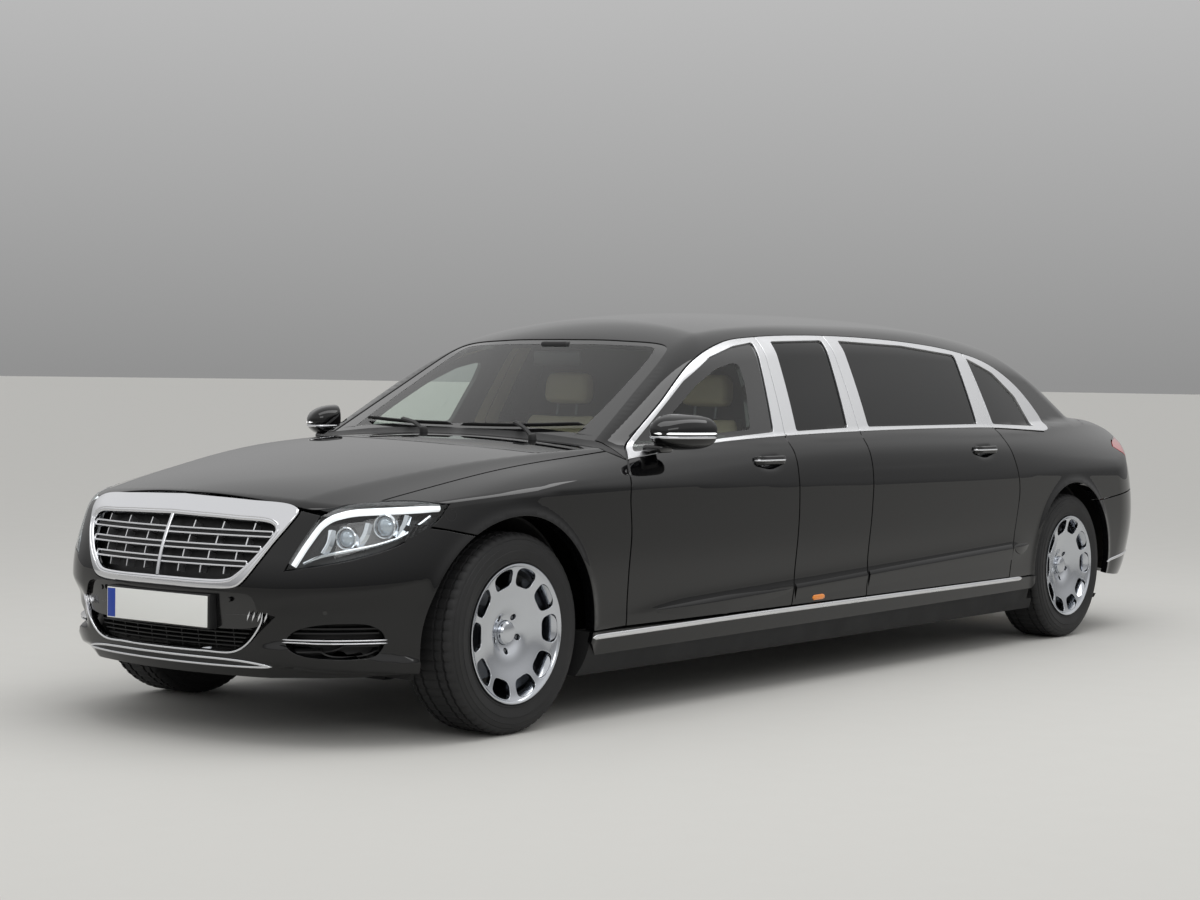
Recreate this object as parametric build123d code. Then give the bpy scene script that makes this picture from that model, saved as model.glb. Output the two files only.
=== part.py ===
# Stretch limousine: long saloon with four doors and a fixed middle section.
# Millimetres. Front at -X, the car's right side at +Y, +Z up, the floor at z = 0.
import math
import os

from build123d import *

# Driving dimensions
LENGTH = 6500.0
FRONT_OVERHANG = 885.0
WHEELBASE = 4418.0
TYRE_RADIUS = 365.0
TYRE_WIDTH = 245.0
RIM_RADIUS = 252.0
WHEEL_FACE_Y = 925.0
ARCH_RADIUS = 422.0
WHEELHOUSE_INNER_Y = 455.0
KINGPIN_Y = 800.0
SHUT_GAP = 6.0
SEAT_GAP = 0.3
DOOR_SHEAR = 0.27
WALL = 100.0
ROOF_WALL = 52.0
LID_WALL = 42.0
GLASS = 6.0
FLOOR_Z = 175.0
FLOOR_TOP = 225.0
SILL_TOP = 339.0
DOOR_BASE = 345.0

NOSE_X = -LENGTH / 2
TAIL_X = LENGTH / 2
FRONT_AXLE_X = NOSE_X + FRONT_OVERHANG
REAR_AXLE_X = FRONT_AXLE_X + WHEELBASE
WHEEL_Y = WHEEL_FACE_Y - TYRE_WIDTH / 2

# Plan outlines of the lower body at rising levels
# z, set-back of the nose, set-back of the tail, half width at front axle, middle, rear axle
PLAN_LEVELS = [
    (150, 150, 230, 862, 880, 862),
    (260, 45, 110, 915, 932, 915),
    (400, 8, 40, 934, 944, 934),
    (560, 0, 0, 940, 949, 942),
    (720, 42, 12, 940, 950, 944),
    (860, 110, 50, 938, 948, 940),
    (1010, 190, 105, 925, 940, 925),
    (1220, 330, 200, 900, 925, 900),
]
NOSE_R = 1750.0
TAIL_R = 2600.0
NOSE_CORNER_R = 470.0
TAIL_CORNER_R = 430.0

# Upper skin of the lower body along the car
# x, height on the centre line, half width of the crown, height there, height of the side crease
DECK_STATIONS = [
    (-3400, 730, 560, 690, 560),
    (-3144, 848, 575, 798, 668),
    (-2700, 955, 640, 902, 795),
    (-2300, 1014, 710, 965, 868),
    (-1750, 1058, 795, 1012, 888),
    (-1100, 1074, 852, 1036, 889),
    (-500, 1088, 876, 1052, 889),
    (600, 1105, 874, 1070, 884),
    (1500, 1112, 858, 1066, 868),
    (2100, 1132, 792, 1090, 860),
    (2700, 1132, 690, 1096, 850),
    (3050, 1084, 640, 1044, 832),
    (3400, 960, 600, 915, 790),
]
CREASE_Y = 946.0
SHOULDER_BULGE = 14.0

# Greenhouse along the car: x, roof height on the centre line, narrowing of the half width
ROOF_STATIONS = [
    (-2000, 1205, 130),
    (-1500, 1375, 76),
    (-1000, 1500, 28),
    (-500, 1568, 7),
    (200, 1594, 0),
    (900, 1592, 4),
    (1500, 1552, 24),
    (2000, 1474, 72),
    (2900, 1250, 195),
]
BELT_Z = 1060.0
BELT_Y = 860.0
TUMBLEHOME = 0.452
ROOF_CROWN = 100.0
SCREEN_BASE = (-1800.0, 1010.0)
SCREEN_TOP = (-996.0, 1445.0)
SCREEN_R = 2690.0
REAR_GLASS_TOP = (1965.0, 1460.0)
REAR_GLASS_BASE = (2650.0, 1105.0)
REAR_GLASS_R = 2300.0

# Side view lines on the skin, x and z
FRONT_DOOR = [
    (-1738, DOOR_BASE), (-1731, 560), (-1715, 700), (-1725, 876), (-1653, 973), (-1303, 1181),
    (-1005, 1352), (-702, 1444), (-449, 1472), (-524, 1063), (-542, 1036), (-544, 912), (-546, 719),
    (-570, 519), (-592, DOOR_BASE),
]
REAR_DOOR = [
    (13, DOOR_BASE), (16, 520), (45, 714), (60, 899), (55, 1043), (73, 1070), (100, 1490), (749, 1478),
    (1040, 1461), (1327, 1428), (1349, 1076), (1432, 857), (1446, 764), (1391, 525), (1366, DOOR_BASE),
]
MIDDLE_PANEL = [
    (-592, DOOR_BASE), (-570, 519), (-546, 719), (-544, 912), (-542, 1036), (-524, 1063), (-449, 1472),
    (100, 1490), (73, 1070), (55, 1043), (60, 899), (45, 714), (16, 520), (13, DOOR_BASE),
]
WINDOWS = {
    "front": [(-1465, 1038), (-1265, 1168), (-990, 1320), (-700, 1412), (-546, 1434), (-630, 1082)],
    "middle": [(-434, 1094), (-392, 1446), (24, 1457), (-16, 1104)],
    "rear": [(176, 1106), (170, 1458), (740, 1447), (1218, 1408), (1201, 1108)],
    "quarter": [(1362, 1106), (1338, 1396), (1540, 1352), (1742, 1262), (1868, 1140), (1815, 1106)],
}


def between(x, table, column):
    for a, b in zip(table, table[1:]):
        if x <= b[0]:
            t = (x - a[0]) / (b[0] - a[0])
            return a[column] + (b[column] - a[column]) * t
    return table[-1][column]


def side_y(x, z):
    # Half width of the car's skin at a place in side view
    glass = BELT_Y - between(x, ROOF_STATIONS, 2) - TUMBLEHOME * (z - BELT_Z)
    edge_y = between(x, DECK_STATIONS, 2)
    edge_z = between(x, DECK_STATIONS, 3)
    crease_z = between(x, DECK_STATIONS, 4)
    if z < crease_z:
        return CREASE_Y
    if z > edge_z:
        return glass
    low = edge_y + (edge_z - z) / (edge_z - crease_z) * (CREASE_Y - edge_y) + SHOULDER_BULGE * 0.7
    return max(low, glass) if z > 950 else low


def arc(a, b, c):
    return Edge.make_three_point_arc(Vector(*a), Vector(*b), Vector(*c))


def line(a, b):
    return Edge.make_line(Vector(*a), Vector(*b))


def circle_meet(c1, r1, c2, r2, side):
    # Meeting point of two circles, the one further along x on the asked side
    dx = c2[0] - c1[0]
    dy = c2[1] - c1[1]
    d = math.hypot(dx, dy)
    a = (r1 * r1 - r2 * r2 + d * d) / (2 * d)
    h = math.sqrt(max(r1 * r1 - a * a, 0))
    px = c1[0] + a * dx / d
    py = c1[1] + a * dy / d
    one = (px - h * dy / d, py + h * dx / d)
    two = (px + h * dy / d, py - h * dx / d)
    return one if (one[0] - two[0]) * side > 0 else two


def away(c, p, r):
    d = math.hypot(p[0] - c[0], p[1] - c[1])
    return (c[0] + (p[0] - c[0]) * r / d, c[1] + (p[1] - c[1]) * r / d)


def plan_wire(z, nose, tail, wf, wm, wr, inset):
    nx = NOSE_X + nose + inset
    tx = TAIL_X - tail - inset
    wf, wm, wr = wf - inset, wm - inset, wr - inset
    rn, rt = NOSE_R - inset, TAIL_R - inset
    r1, r2 = NOSE_CORNER_R - inset, TAIL_CORNER_R - inset
    # Side arc through the three half widths
    ax, bx, cx = FRONT_AXLE_X, 0.0, REAR_AXLE_X
    d = 2 * (ax * (wm - wr) + bx * (wr - wf) + cx * (wf - wm))
    a2, b2, c2 = ax * ax + wf * wf, wm * wm, cx * cx + wr * wr
    ux = (a2 * (wm - wr) + b2 * (wr - wf) + c2 * (wf - wm)) / d
    uy = (a2 * (cx - bx) + b2 * (ax - cx) + c2 * (bx - ax)) / d
    rs = math.hypot(ax - ux, wf - uy)
    cn, ct, cs = (nx + rn, 0.0), (tx - rt, 0.0), (ux, uy)
    k1 = circle_meet(cn, rn - r1, cs, rs - r1, -1)
    k2 = circle_meet(ct, rt - r2, cs, rs - r2, 1)
    p1, p2 = away(cn, k1, rn), away(cs, k1, rs)
    p3, p4 = away(cs, k2, rs), away(ct, k2, rt)
    m1 = away(k1, ((p1[0] + p2[0]) / 2, (p1[1] + p2[1]) / 2), r1)
    m2 = away(k2, ((p3[0] + p4[0]) / 2, (p3[1] + p4[1]) / 2), r2)
    ms = away(cs, ((p2[0] + p3[0]) / 2, (p2[1] + p3[1]) / 2), rs)
    up = lambda p: (p[0], p[1], z)
    dn = lambda p: (p[0], -p[1], z)
    edges = [
        arc(dn(p1), (nx, 0, z), up(p1)),
        arc(up(p1), up(m1), up(p2)),
        arc(up(p2), up(ms), up(p3)),
        arc(up(p3), up(m2), up(p4)),
        arc(up(p4), (tx, 0, z), dn(p4)),
        arc(dn(p4), dn(m2), dn(p3)),
        arc(dn(p3), dn(ms), dn(p2)),
        arc(dn(p2), dn(m1), dn(p1)),
    ]
    return Wire(edges)


def deck_wire(x, zc, ye, ze, zl, drop):
    zc, ze, zl = zc - drop, ze - drop, zl - drop
    chord = math.hypot(CREASE_Y - ye, ze - zl)
    ny, nz = (ze - zl) / chord, (CREASE_Y - ye) / chord
    my, mz = (ye + CREASE_Y) / 2 + ny * SHOULDER_BULGE, (ze + zl) / 2 + nz * SHOULDER_BULGE
    slope = (ze - zl) / (CREASE_Y - ye) * 1.5
    fy, fz = 1120.0, zl - (1120.0 - CREASE_Y) * slope
    low = 60.0
    edges = [
        arc((x, -ye, ze), (x, 0, zc), (x, ye, ze)),
        arc((x, ye, ze), (x, my, mz), (x, CREASE_Y, zl)),
        line((x, CREASE_Y, zl), (x, fy, fz)),
        line((x, fy, fz), (x, fy, low)),
        line((x, fy, low), (x, -fy, low)),
        line((x, -fy, low), (x, -fy, fz)),
        line((x, -fy, fz), (x, -CREASE_Y, zl)),
        arc((x, -CREASE_Y, zl), (x, -my, mz), (x, -ye, ze)),
    ]
    return Wire(edges)


def roof_wire(x, zr, narrow, inset):
    # Roof crown, rounded cant rail and leaning sides
    zr = zr - inset
    base = 880.0
    edge_z = zr - ROOF_CROWN
    side = lambda z: BELT_Y - narrow - inset * 1.1 - TUMBLEHOME * (z - BELT_Z)
    rail_z = edge_z - 46
    rail_y = side(rail_z)
    crown_y = side(edge_z) - 62
    crown_z = zr - ROOF_CROWN * 0.72
    mid_y, mid_z = (rail_y + crown_y) / 2 + 16, (rail_z + crown_z) / 2 + 21
    by = side(base)
    edges = [
        arc((x, -crown_y, crown_z), (x, 0, zr), (x, crown_y, crown_z)),
        arc((x, crown_y, crown_z), (x, mid_y, mid_z), (x, rail_y, rail_z)),
        line((x, rail_y, rail_z), (x, by, base)),
        line((x, by, base), (x, -by, base)),
        line((x, -by, base), (x, -rail_y, rail_z)),
        arc((x, -rail_y, rail_z), (x, -mid_y, mid_z), (x, -crown_y, crown_z)),
    ]
    return Wire(edges)


def plan_body(inset):
    return Solid.make_loft([plan_wire(*row, inset) for row in PLAN_LEVELS])


def deck_body(drop):
    return Solid.make_loft([deck_wire(*row, drop) for row in DECK_STATIONS])


def slanted_prism(edge_x, radius, z0, direction, length, back):
    # Solid behind a curved pane: plan arc through (edge_x, 0) pushed along the pane's slope
    half = 1500.0
    sag = radius - math.sqrt(radius * radius - half * half)
    s = 1.0 if back > 0 else -1.0
    far = edge_x + back
    edges = [
        arc((edge_x + s * sag, -half, z0), (edge_x, 0, z0), (edge_x + s * sag, half, z0)),
        line((edge_x + s * sag, half, z0), (far, half, z0)),
        line((far, half, z0), (far, -half, z0)),
        line((far, -half, z0), (edge_x + s * sag, -half, z0)),
    ]
    return Solid.extrude(Face(Wire(edges)), Vector(*direction).normalized() * length)


def screen_keep(inset):
    # Everything behind the windscreen plane
    (x0, z0), (x1, z1) = SCREEN_BASE, SCREEN_TOP
    run, rise = x1 - x0, z1 - z0
    shift = inset * math.hypot(run, rise) / rise
    t = (780.0 - z0) / rise
    return slanted_prism(x0 + run * t + shift, SCREEN_R, 780.0, (run, 0, rise), 1900.0, 6500.0)


def rear_keep(inset):
    # Everything ahead of the rear window plane
    (x0, z0), (x1, z1) = REAR_GLASS_BASE, REAR_GLASS_TOP
    run, rise = x1 - x0, z1 - z0
    shift = inset * math.hypot(run, rise) / rise
    t = (780.0 - z0) / rise
    return slanted_prism(x0 + run * t - shift, REAR_GLASS_R, 780.0, (run, 0, rise), 2400.0, -7500.0)


def greenhouse(inset, glass_inset):
    body = Solid.make_loft([roof_wire(*row, inset) for row in ROOF_STATIONS])
    return body & screen_keep(glass_inset) & rear_keep(glass_inset)


def poly_edges(points):
    pts = list(points) + [points[0]]
    return [line(pts[i], pts[i + 1]) for i in range(len(points))]


def side_prism(points, grow, depth=410.0):
    # Side-view outline pushed inwards from the car's left side, leaning forward with depth so
    # that a door's rear edge swings clear
    y0 = -1010.0
    pts = [(x - DOOR_SHEAR * (y0 + side_y(x, z)), y0, z) for x, z in points]
    face = Face(Wire(poly_edges(pts)))
    if grow:
        face = grown(face, grow)
    return Solid.extrude(face, Vector(-DOOR_SHEAR, 1, 0) * depth)


def grown(face, amount):
    wire = face.outer_wire().offset_2d(amount, kind=Kind.INTERSECTION)
    return Face(wire)


def plan_prism(points, z0, z1):
    face = Face(Wire(poly_edges([(x, y, z0) for x, y in points])))
    return Solid.extrude(face, Vector(0, 0, z1 - z0))


def front_prism(points, x0, x1):
    face = Face(Wire(poly_edges([(x0, y, z) for y, z in points])))
    return Solid.extrude(face, Vector(x1 - x0, 0, 0))


def box(x0, x1, y0, y1, z0, z1):
    return Solid.make_box(x1 - x0, y1 - y0, z1 - z0, Plane((x0, y0, z0)))


def rod_y(x, z, r, y0, y1):
    return Solid.make_cylinder(r, y1 - y0, Plane((x, y0, z), x_dir=(1, 0, 0), z_dir=(0, 1, 0)))


def rod_x(y, z, r, x0, x1):
    return Solid.make_cylinder(r, x1 - x0, Plane((x0, y, z), x_dir=(0, 1, 0), z_dir=(1, 0, 0)))


def rod_z(x, y, r, z0, z1):
    return Solid.make_cylinder(r, z1 - z0, Plane((x, y, z0)))


def flip(shape):
    return shape.mirror(Plane.XZ)


def solids_of(shape):
    if isinstance(shape, Solid):
        return [shape]
    return list(shape.solids())


def largest(shape, count=1):
    found = sorted(solids_of(shape), key=lambda s: -s.volume)
    return found[0] if count == 1 else found[:count]


def save(name, *shapes):
    solids = []
    for shape in shapes:
        solids += [s for s in solids_of(shape) if s.volume > 300]
    shape = solids[0] if len(solids) == 1 else Compound(children=solids)
    export_step(shape, os.path.join("parts", name + ".step"))


def both(name, left):
    save(name, left, flip(left))


def pair(name, left):
    save(name + "_left", left)
    save(name + "_right", flip(left))


os.makedirs("parts", exist_ok=True)

# Whole outer skin and the hollow inside it
def common(a, b):
    # Common part of two lofted bodies, taken both ways round; the smaller one is whole
    return min((a & b, b & a), key=lambda shape: shape.volume)


outer_low = common(plan_body(0), deck_body(0))
inner_low = common(plan_body(WALL), deck_body(LID_WALL))
inner_low = inner_low & box(-3600, 3600, -1200, 1200, FLOOR_TOP, 1700)
outer_up = greenhouse(0, 0)
inner_up = greenhouse(ROOF_WALL, 45)
hollow = inner_low + inner_up
shell = (outer_low + outer_up) - hollow
shell = shell & box(-3600, 3600, -1200, 1200, FLOOR_Z, 1700)

# Wheel arches, open on the outside
arch_cut = None
for axle_x in (FRONT_AXLE_X, REAR_AXLE_X):
    arch = rod_y(axle_x, TYRE_RADIUS, ARCH_RADIUS, -1100, -WHEELHOUSE_INNER_Y)
    arch_cut = arch if arch_cut is None else arch_cut + arch
shell = shell - arch_cut - flip(arch_cut)

# Cutting volumes of the panels, for the car's left side where they come in pairs
g = SHUT_GAP / 2
front_door_cut = side_prism(FRONT_DOOR, g)
rear_door_cut = side_prism(REAR_DOOR, g)
front_door_vol = side_prism(FRONT_DOOR, -g)
rear_door_vol = side_prism(REAR_DOOR, -g)
window_cut = {name: side_prism(pts, 0) for name, pts in WINDOWS.items()}
door_cuts = front_door_cut + rear_door_cut
door_cuts = door_cuts + flip(door_cuts)

HOOD_PLAN = [
    (-3092, 0), (-3078, 250), (-3020, 521), (-2990, 604), (-2850, 690), (-2500, 735), (-1900, 790),
    (-1700, 800), (-1715, 600), (-1745, 300), (-1755, 0),
]
LID_PLAN = [
    (2670, 0), (2664, 300), (2634, 560), (2640, 606), (2960, 574), (3010, 570), (3400, 570), (3400, 0),
]
LID_BASE_Z = 772.0


def symmetric(points):
    inner = [(x, -y) for x, y in reversed(points) if y > 0]
    return list(points) + inner


def symmetric_front(points):
    inner = [(-y, z) for y, z in reversed(points) if y > 0]
    return list(points) + inner


def grown_plan(points, z0, z1, grow):
    face = Face(Wire(poly_edges([(x, y, z0) for x, y in symmetric(points)])))
    return Solid.extrude(grown(face, grow), Vector(0, 0, z1 - z0))


hood_cut = grown_plan(HOOD_PLAN, 700, 1250, g) - deck_body(LID_WALL + SHUT_GAP)
hood_vol = grown_plan(HOOD_PLAN, 700, 1250, -g) - deck_body(LID_WALL)
lid_cut = grown_plan(LID_PLAN, LID_BASE_Z - g, 1400, g)
lid_vol = grown_plan(LID_PLAN, LID_BASE_Z + g, 1400, -g)

# Headlamp outline seen square to the car's left front corner: run along the corner, height
LAMP_OUTLINE = [
    (-1849, 615), (-1725, 803), (-1525, 846), (-1285, 838), (-1330, 780), (-1457, 706), (-1697, 640),
]
s2 = math.sqrt(0.5)
lamp_face = Face(Wire(poly_edges([(u * s2 - 2700 * s2, -u * s2 - 2700 * s2, z) for u, z in LAMP_OUTLINE])))
lamp_cut = Solid.extrude(lamp_face, Vector(s2, s2, 0) * 1100)
lamp_clear = Solid.extrude(grown(lamp_face, SHUT_GAP), Vector(s2, s2, 0) * 1100)

# Tail lamp in side view, and the grille opening in front view
TAIL_LAMP = [(2930, 975), (3010, 1012), (3400, 990), (3400, LID_BASE_Z), (3150, LID_BASE_Z), (2980, 880)]
tail_face = Face(Wire(poly_edges([(x, -1010, z) for x, z in TAIL_LAMP])))
tail_cut = Solid.extrude(tail_face, Vector(0, 380, 0)) - lid_cut
GRILLE_OUTLINE = [
    (0, 858), (300, 848), (490, 834), (524, 812), (470, 690), (385, 566), (350, 545), (0, 538),
]
GRILLE_INNER = [
    (0, 786), (300, 778), (450, 768), (470, 752), (420, 660), (345, 588), (320, 578), (0, 572),
]
grille_cut = front_prism(symmetric_front(GRILLE_OUTLINE), -3400, -3000)
grille_hole = front_prism(symmetric_front(GRILLE_INNER), -3400, -2950)

# Side view limits of the bumpers and fenders
BUMPER_FRONT = [
    (-3400, 100), (-2560, 100), (-2560, 727), (-2821, 770), (-2900, 800), (-2980, 900), (-3400, 900),
]
BUMPER_REAR = [(2440, 100), (3400, 100), (3400, LID_BASE_Z), (3100, 762), (2700, 722), (2440, 690)]
FENDER = [(-3400, 100), (-1700, 100), (-1700, 1200), (-3400, 1200)]
QUARTER = [(1200, SILL_TOP), (3400, SILL_TOP), (3400, 1200), (2600, 1200), (2600, 1044), (1200, 1044)]


def across(points):
    face = Face(Wire(poly_edges([(x, -1200, z) for x, z in points])))
    return Solid.extrude(face, Vector(0, 2400, 0))


bumper_front_vol = across(BUMPER_FRONT)
bumper_rear_vol = across(BUMPER_REAR)

# Openings in the front bumper: middle intake and the two oval side intakes
MIDDLE_INTAKE = [(0, 400), (330, 400), (372, 372), (345, 322), (0, 318)]
middle_intake = front_prism(symmetric_front(MIDDLE_INTAKE), -3400, -2900)
side_intake_face = Face(Wire(poly_edges([(u * s2 - 2700 * s2, -u * s2 - 2700 * s2, z) for u, z in (
    (-1880, 330), (-1880, 395), (-1830, 430), (-1640, 440), (-1590, 400), (-1600, 345), (-1650, 320))])))
side_intake = Solid.extrude(side_intake_face, Vector(s2, s2, 0) * 1200)

lamps = lamp_cut + flip(lamp_cut)
tails = tail_cut + flip(tail_cut)
moving_cuts = [door_cuts, hood_cut, lid_cut]

# Moving panels
bonnet = largest((shell & hood_vol) - lamp_clear - flip(lamp_clear))
save("bonnet", bonnet)
boot_lid = largest(shell & lid_vol)
save("boot_lid", boot_lid)
glass_outer = greenhouse(3, 3)
glass_inner = greenhouse(3 + GLASS, 3 + GLASS)


def pane(cut):
    return largest((glass_outer & cut) - glass_inner)


# Bow handles: door, place along the car, height
HANDLES = {"front": (-749, 958), "rear": (1120, 971)}
HANDLE_LENGTH = 230.0
HANDLE_PROUD = 34.0


def handle(name):
    x, z = HANDLES[name]
    y = -side_y(x, z)
    bar = box(x - HANDLE_LENGTH / 2, x + HANDLE_LENGTH / 2, y - HANDLE_PROUD, y - HANDLE_PROUD + 16, z - 14, z + 14)
    for end in (-1, 1):
        fx = x + end * (HANDLE_LENGTH / 2 - 22)
        bar = bar + box(fx - 22, fx + 22, y - HANDLE_PROUD, y + 60, z - 14, z + 14)
    return bar


doors = {"front": (front_door_vol, FRONT_DOOR), "rear": (rear_door_vol, REAR_DOOR)}
for name, (volume, _) in doors.items():
    door = largest((shell & volume) - window_cut[name])
    pair("door_" + name, largest(door + handle(name)))
    pair("glass_" + name, pane(side_prism(WINDOWS[name], -SEAT_GAP)))

# Door mirrors on a foot at the belt
MIRROR = {"x0": -1535.0, "x1": -1415.0, "y0": -1055.0, "y1": -895.0, "z0": 1012.0, "z1": 1146.0}
m = MIRROR
mirror = box(m["x0"], m["x1"], m["y0"], m["y1"], m["z0"], m["z1"])
mirror = mirror.fillet(38, mirror.edges().filter_by(Axis.X))
mirror = mirror + box(m["x0"] + 20, m["x1"] - 10, m["y1"] - 30, -870, m["z0"] + 4, m["z0"] + 26)
foot = box(m["x0"] + 20, m["x1"] - 10, -905, -835, 985, m["z0"] + 26) - outer_low - outer_up
mirror = largest(mirror + foot)
mirror = largest(mirror - outer_low - outer_up)
pair("mirror", mirror)
print("moving panels")

# Fixed hinge leaves standing in the shut gaps, almost touching the moving panel: they belong to the
# fender, the middle panel, the scuttle and the rear quarter
LEAF_ROOT = 8.0
seat_in = SEAT_GAP - g


def door_leaves(outline, x0, x1):
    ring = side_prism(outline, LEAF_ROOT) - side_prism(outline, seat_in)
    return ring & (box(x0, x1, -925, -875, 470, 540) + box(x0, x1, -925, -875, 760, 830))


hood_ring = grown_plan(HOOD_PLAN, 900, 1100, LEAF_ROOT) - grown_plan(HOOD_PLAN, 890, 1110, seat_in)
hood_leaf = hood_ring & box(-1790, -1690, -560, -480, 1012, 1026)
lid_ring = grown_plan(LID_PLAN, 1000, 1200, LEAF_ROOT) - grown_plan(LID_PLAN, 990, 1210, seat_in)
lid_leaf = lid_ring & box(2600, 2700, -480, -400, 1090, 1104)

# Fixed panels
fixed = shell
for cut in moving_cuts:
    fixed = fixed - cut
fixed = fixed - lamps - tails - grille_cut
front_bumper = (fixed & bumper_front_vol) - middle_intake - side_intake - flip(side_intake)
save("front_bumper", largest(front_bumper))
rear_bumper = largest(fixed & bumper_rear_vol)
save("rear_bumper", rear_bumper)
rest = fixed - bumper_front_vol - bumper_rear_vol
sill_box = box(-1985, 1600, -1200, 1200, 0, SILL_TOP) + box(-2700, 2600, -1200, 1200, 0, FLOOR_TOP)
floor_pan = rest & sill_box
rest = rest - sill_box
scuttle = box(-1800, -1690, -780, 780, 930, 1250)
fender_vol = across(FENDER) - scuttle
fenders = rest & fender_vol
rest = rest - fender_vol
middle_vol = side_prism(MIDDLE_PANEL, 0)
middle_left = largest((rest & middle_vol) - window_cut["middle"])
rest = rest - middle_vol - flip(middle_vol)
quarters = rest & across(QUARTER)
rest = rest - across(QUARTER)
left_half = box(-3600, 3600, -1200, 0, 0, 1700)
fender_left = largest(fenders & left_half)
both("front_fenders", largest(fender_left + door_leaves(FRONT_DOOR, -1800, -1690)))
both("middle_panels", largest(middle_left + door_leaves(REAR_DOOR, -60, 90)))
quarter_left = largest(quarters & left_half)
both("rear_quarters", largest(quarter_left + lid_leaf))
SCREEN = [(0, 1080), (400, 1070), (690, 1046), (575, 1425), (300, 1446), (0, 1450)]
REAR_SCREEN = [(0, 1152), (400, 1146), (610, 1130), (520, 1400), (0, 1424)]
screen_cut = front_prism(symmetric_front(SCREEN), -2000, -700)
rear_glass_cut = front_prism(symmetric_front(REAR_SCREEN), 1900, 2800)
quarter_windows = window_cut["quarter"] + flip(window_cut["quarter"])
body_frame = largest(rest - screen_cut - rear_glass_cut - quarter_windows)
save("body_frame", largest(body_frame + hood_leaf + flip(hood_leaf)))
save("windscreen", pane(screen_cut))
save("rear_window", pane(rear_glass_cut))
fixed_glass = []
for name in ("middle", "quarter"):
    glass = pane(window_cut[name])
    fixed_glass += [glass, flip(glass)]
save("fixed_side_glass", *fixed_glass)
both("headlamps", largest(shell & lamp_cut))
both("tail_lamps", largest(shell & tail_cut))
print("fixed panels")

# Grille: frame, centre bar, three double louvres and short upright fins before a dark back
LOUVRE_ROWS = [630.0, 682.0, 734.0]
LOUVRE_HEIGHT = 22.0
frame = ((plan_body(-7) - plan_body(45)) & grille_cut) - grille_hole
bars = box(-3400, -2900, -11, 11, 560, 800)
for z in LOUVRE_ROWS:
    bars = bars + box(-3400, -2900, -600, 600, z - LOUVRE_HEIGHT / 2, z + LOUVRE_HEIGHT / 2)
bars = bars & (plan_body(6) - plan_body(34)) & grille_hole
back = (plan_body(34) - plan_body(45)) & grille_hole
grille = largest(frame + bars + back)
save("grille", grille)

# Floor with sills and jacking pads
JACK_X = (-1500.0, 1250.0)
JACK_Y = 770.0
JACK_R = 38.0
JACK_BASE = FLOOR_Z - 9.0
floor_pan = largest(floor_pan)
for x in JACK_X:
    for y in (-JACK_Y, JACK_Y):
        floor_pan = floor_pan + rod_z(x, y, JACK_R, JACK_BASE, FLOOR_Z + 10)
save("floor_pan", largest(floor_pan))

# Wheel arch liners
LINER = 10.0
liner_room = plan_body(WALL + SEAT_GAP)
liners = []
for axle_x in (FRONT_AXLE_X, REAR_AXLE_X):
    liner = rod_y(axle_x, TYRE_RADIUS, ARCH_RADIUS + LINER, -815, -WHEELHOUSE_INNER_Y + LINER)
    liner = liner - rod_y(axle_x, TYRE_RADIUS, ARCH_RADIUS, -1000, -WHEELHOUSE_INNER_Y)
    liner = liner & box(-3600, 3600, -1200, 0, FLOOR_TOP, 1700)
    liner = liner - box(axle_x - 130, axle_x + 130, -1200, 0, 0, 470)
    liner = liner & liner_room
    liners.append(largest(liner))
save("wheel_liners", liners[0], liners[1], flip(liners[0]), flip(liners[1]))

# Wheels: radius and y of the turned profile on the car's left side
RIM_PROFILE = [
    (0, -892), (78, -892), (82, -874), (238, -914), (RIM_RADIUS, -922), (RIM_RADIUS, -684), (240, -684),
    (240, -888), (82, -852), (82, -752), (180, -752), (180, -722), (82, -716), (0, -716),
]
TYRE_PROFILE = [
    (RIM_RADIUS + SEAT_GAP, -914), (305, -WHEEL_FACE_Y), (TYRE_RADIUS, -896), (TYRE_RADIUS, -709),
    (305, -WHEEL_FACE_Y + TYRE_WIDTH), (RIM_RADIUS + SEAT_GAP, -691),
]
WINDOW_COUNT = 10
WINDOW_PAIR_HALF = 16.5
WINDOW_SHAPE = [(172, -10), (220, -11), (220, 11), (172, 10)]


def turned(profile):
    face = Face(Wire(poly_edges([(r, y, 0) for r, y in profile])))
    return Solid.revolve(face, 360, Axis((0, 0, 0), (0, 1, 0)))


rim = turned(RIM_PROFILE)
for k in range(WINDOW_COUNT):
    centre = 90 + 72 * (k // 2) + WINDOW_PAIR_HALF * (1 if k % 2 else -1)
    pts = [(r * math.cos(math.radians(centre + a)), -1000, r * math.sin(math.radians(centre + a)))
           for r, a in WINDOW_SHAPE]
    rim = rim - Solid.extrude(Face(Wire(poly_edges(pts))), Vector(0, 190, 0))
tyre = turned(TYRE_PROFILE)
for name, axle_x in (("front", FRONT_AXLE_X), ("rear", REAR_AXLE_X)):
    place = Location((axle_x, 0, TYRE_RADIUS))
    pair("wheel_" + name, rim.moved(place))
    pair("tyre_" + name, tyre.moved(place))

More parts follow.
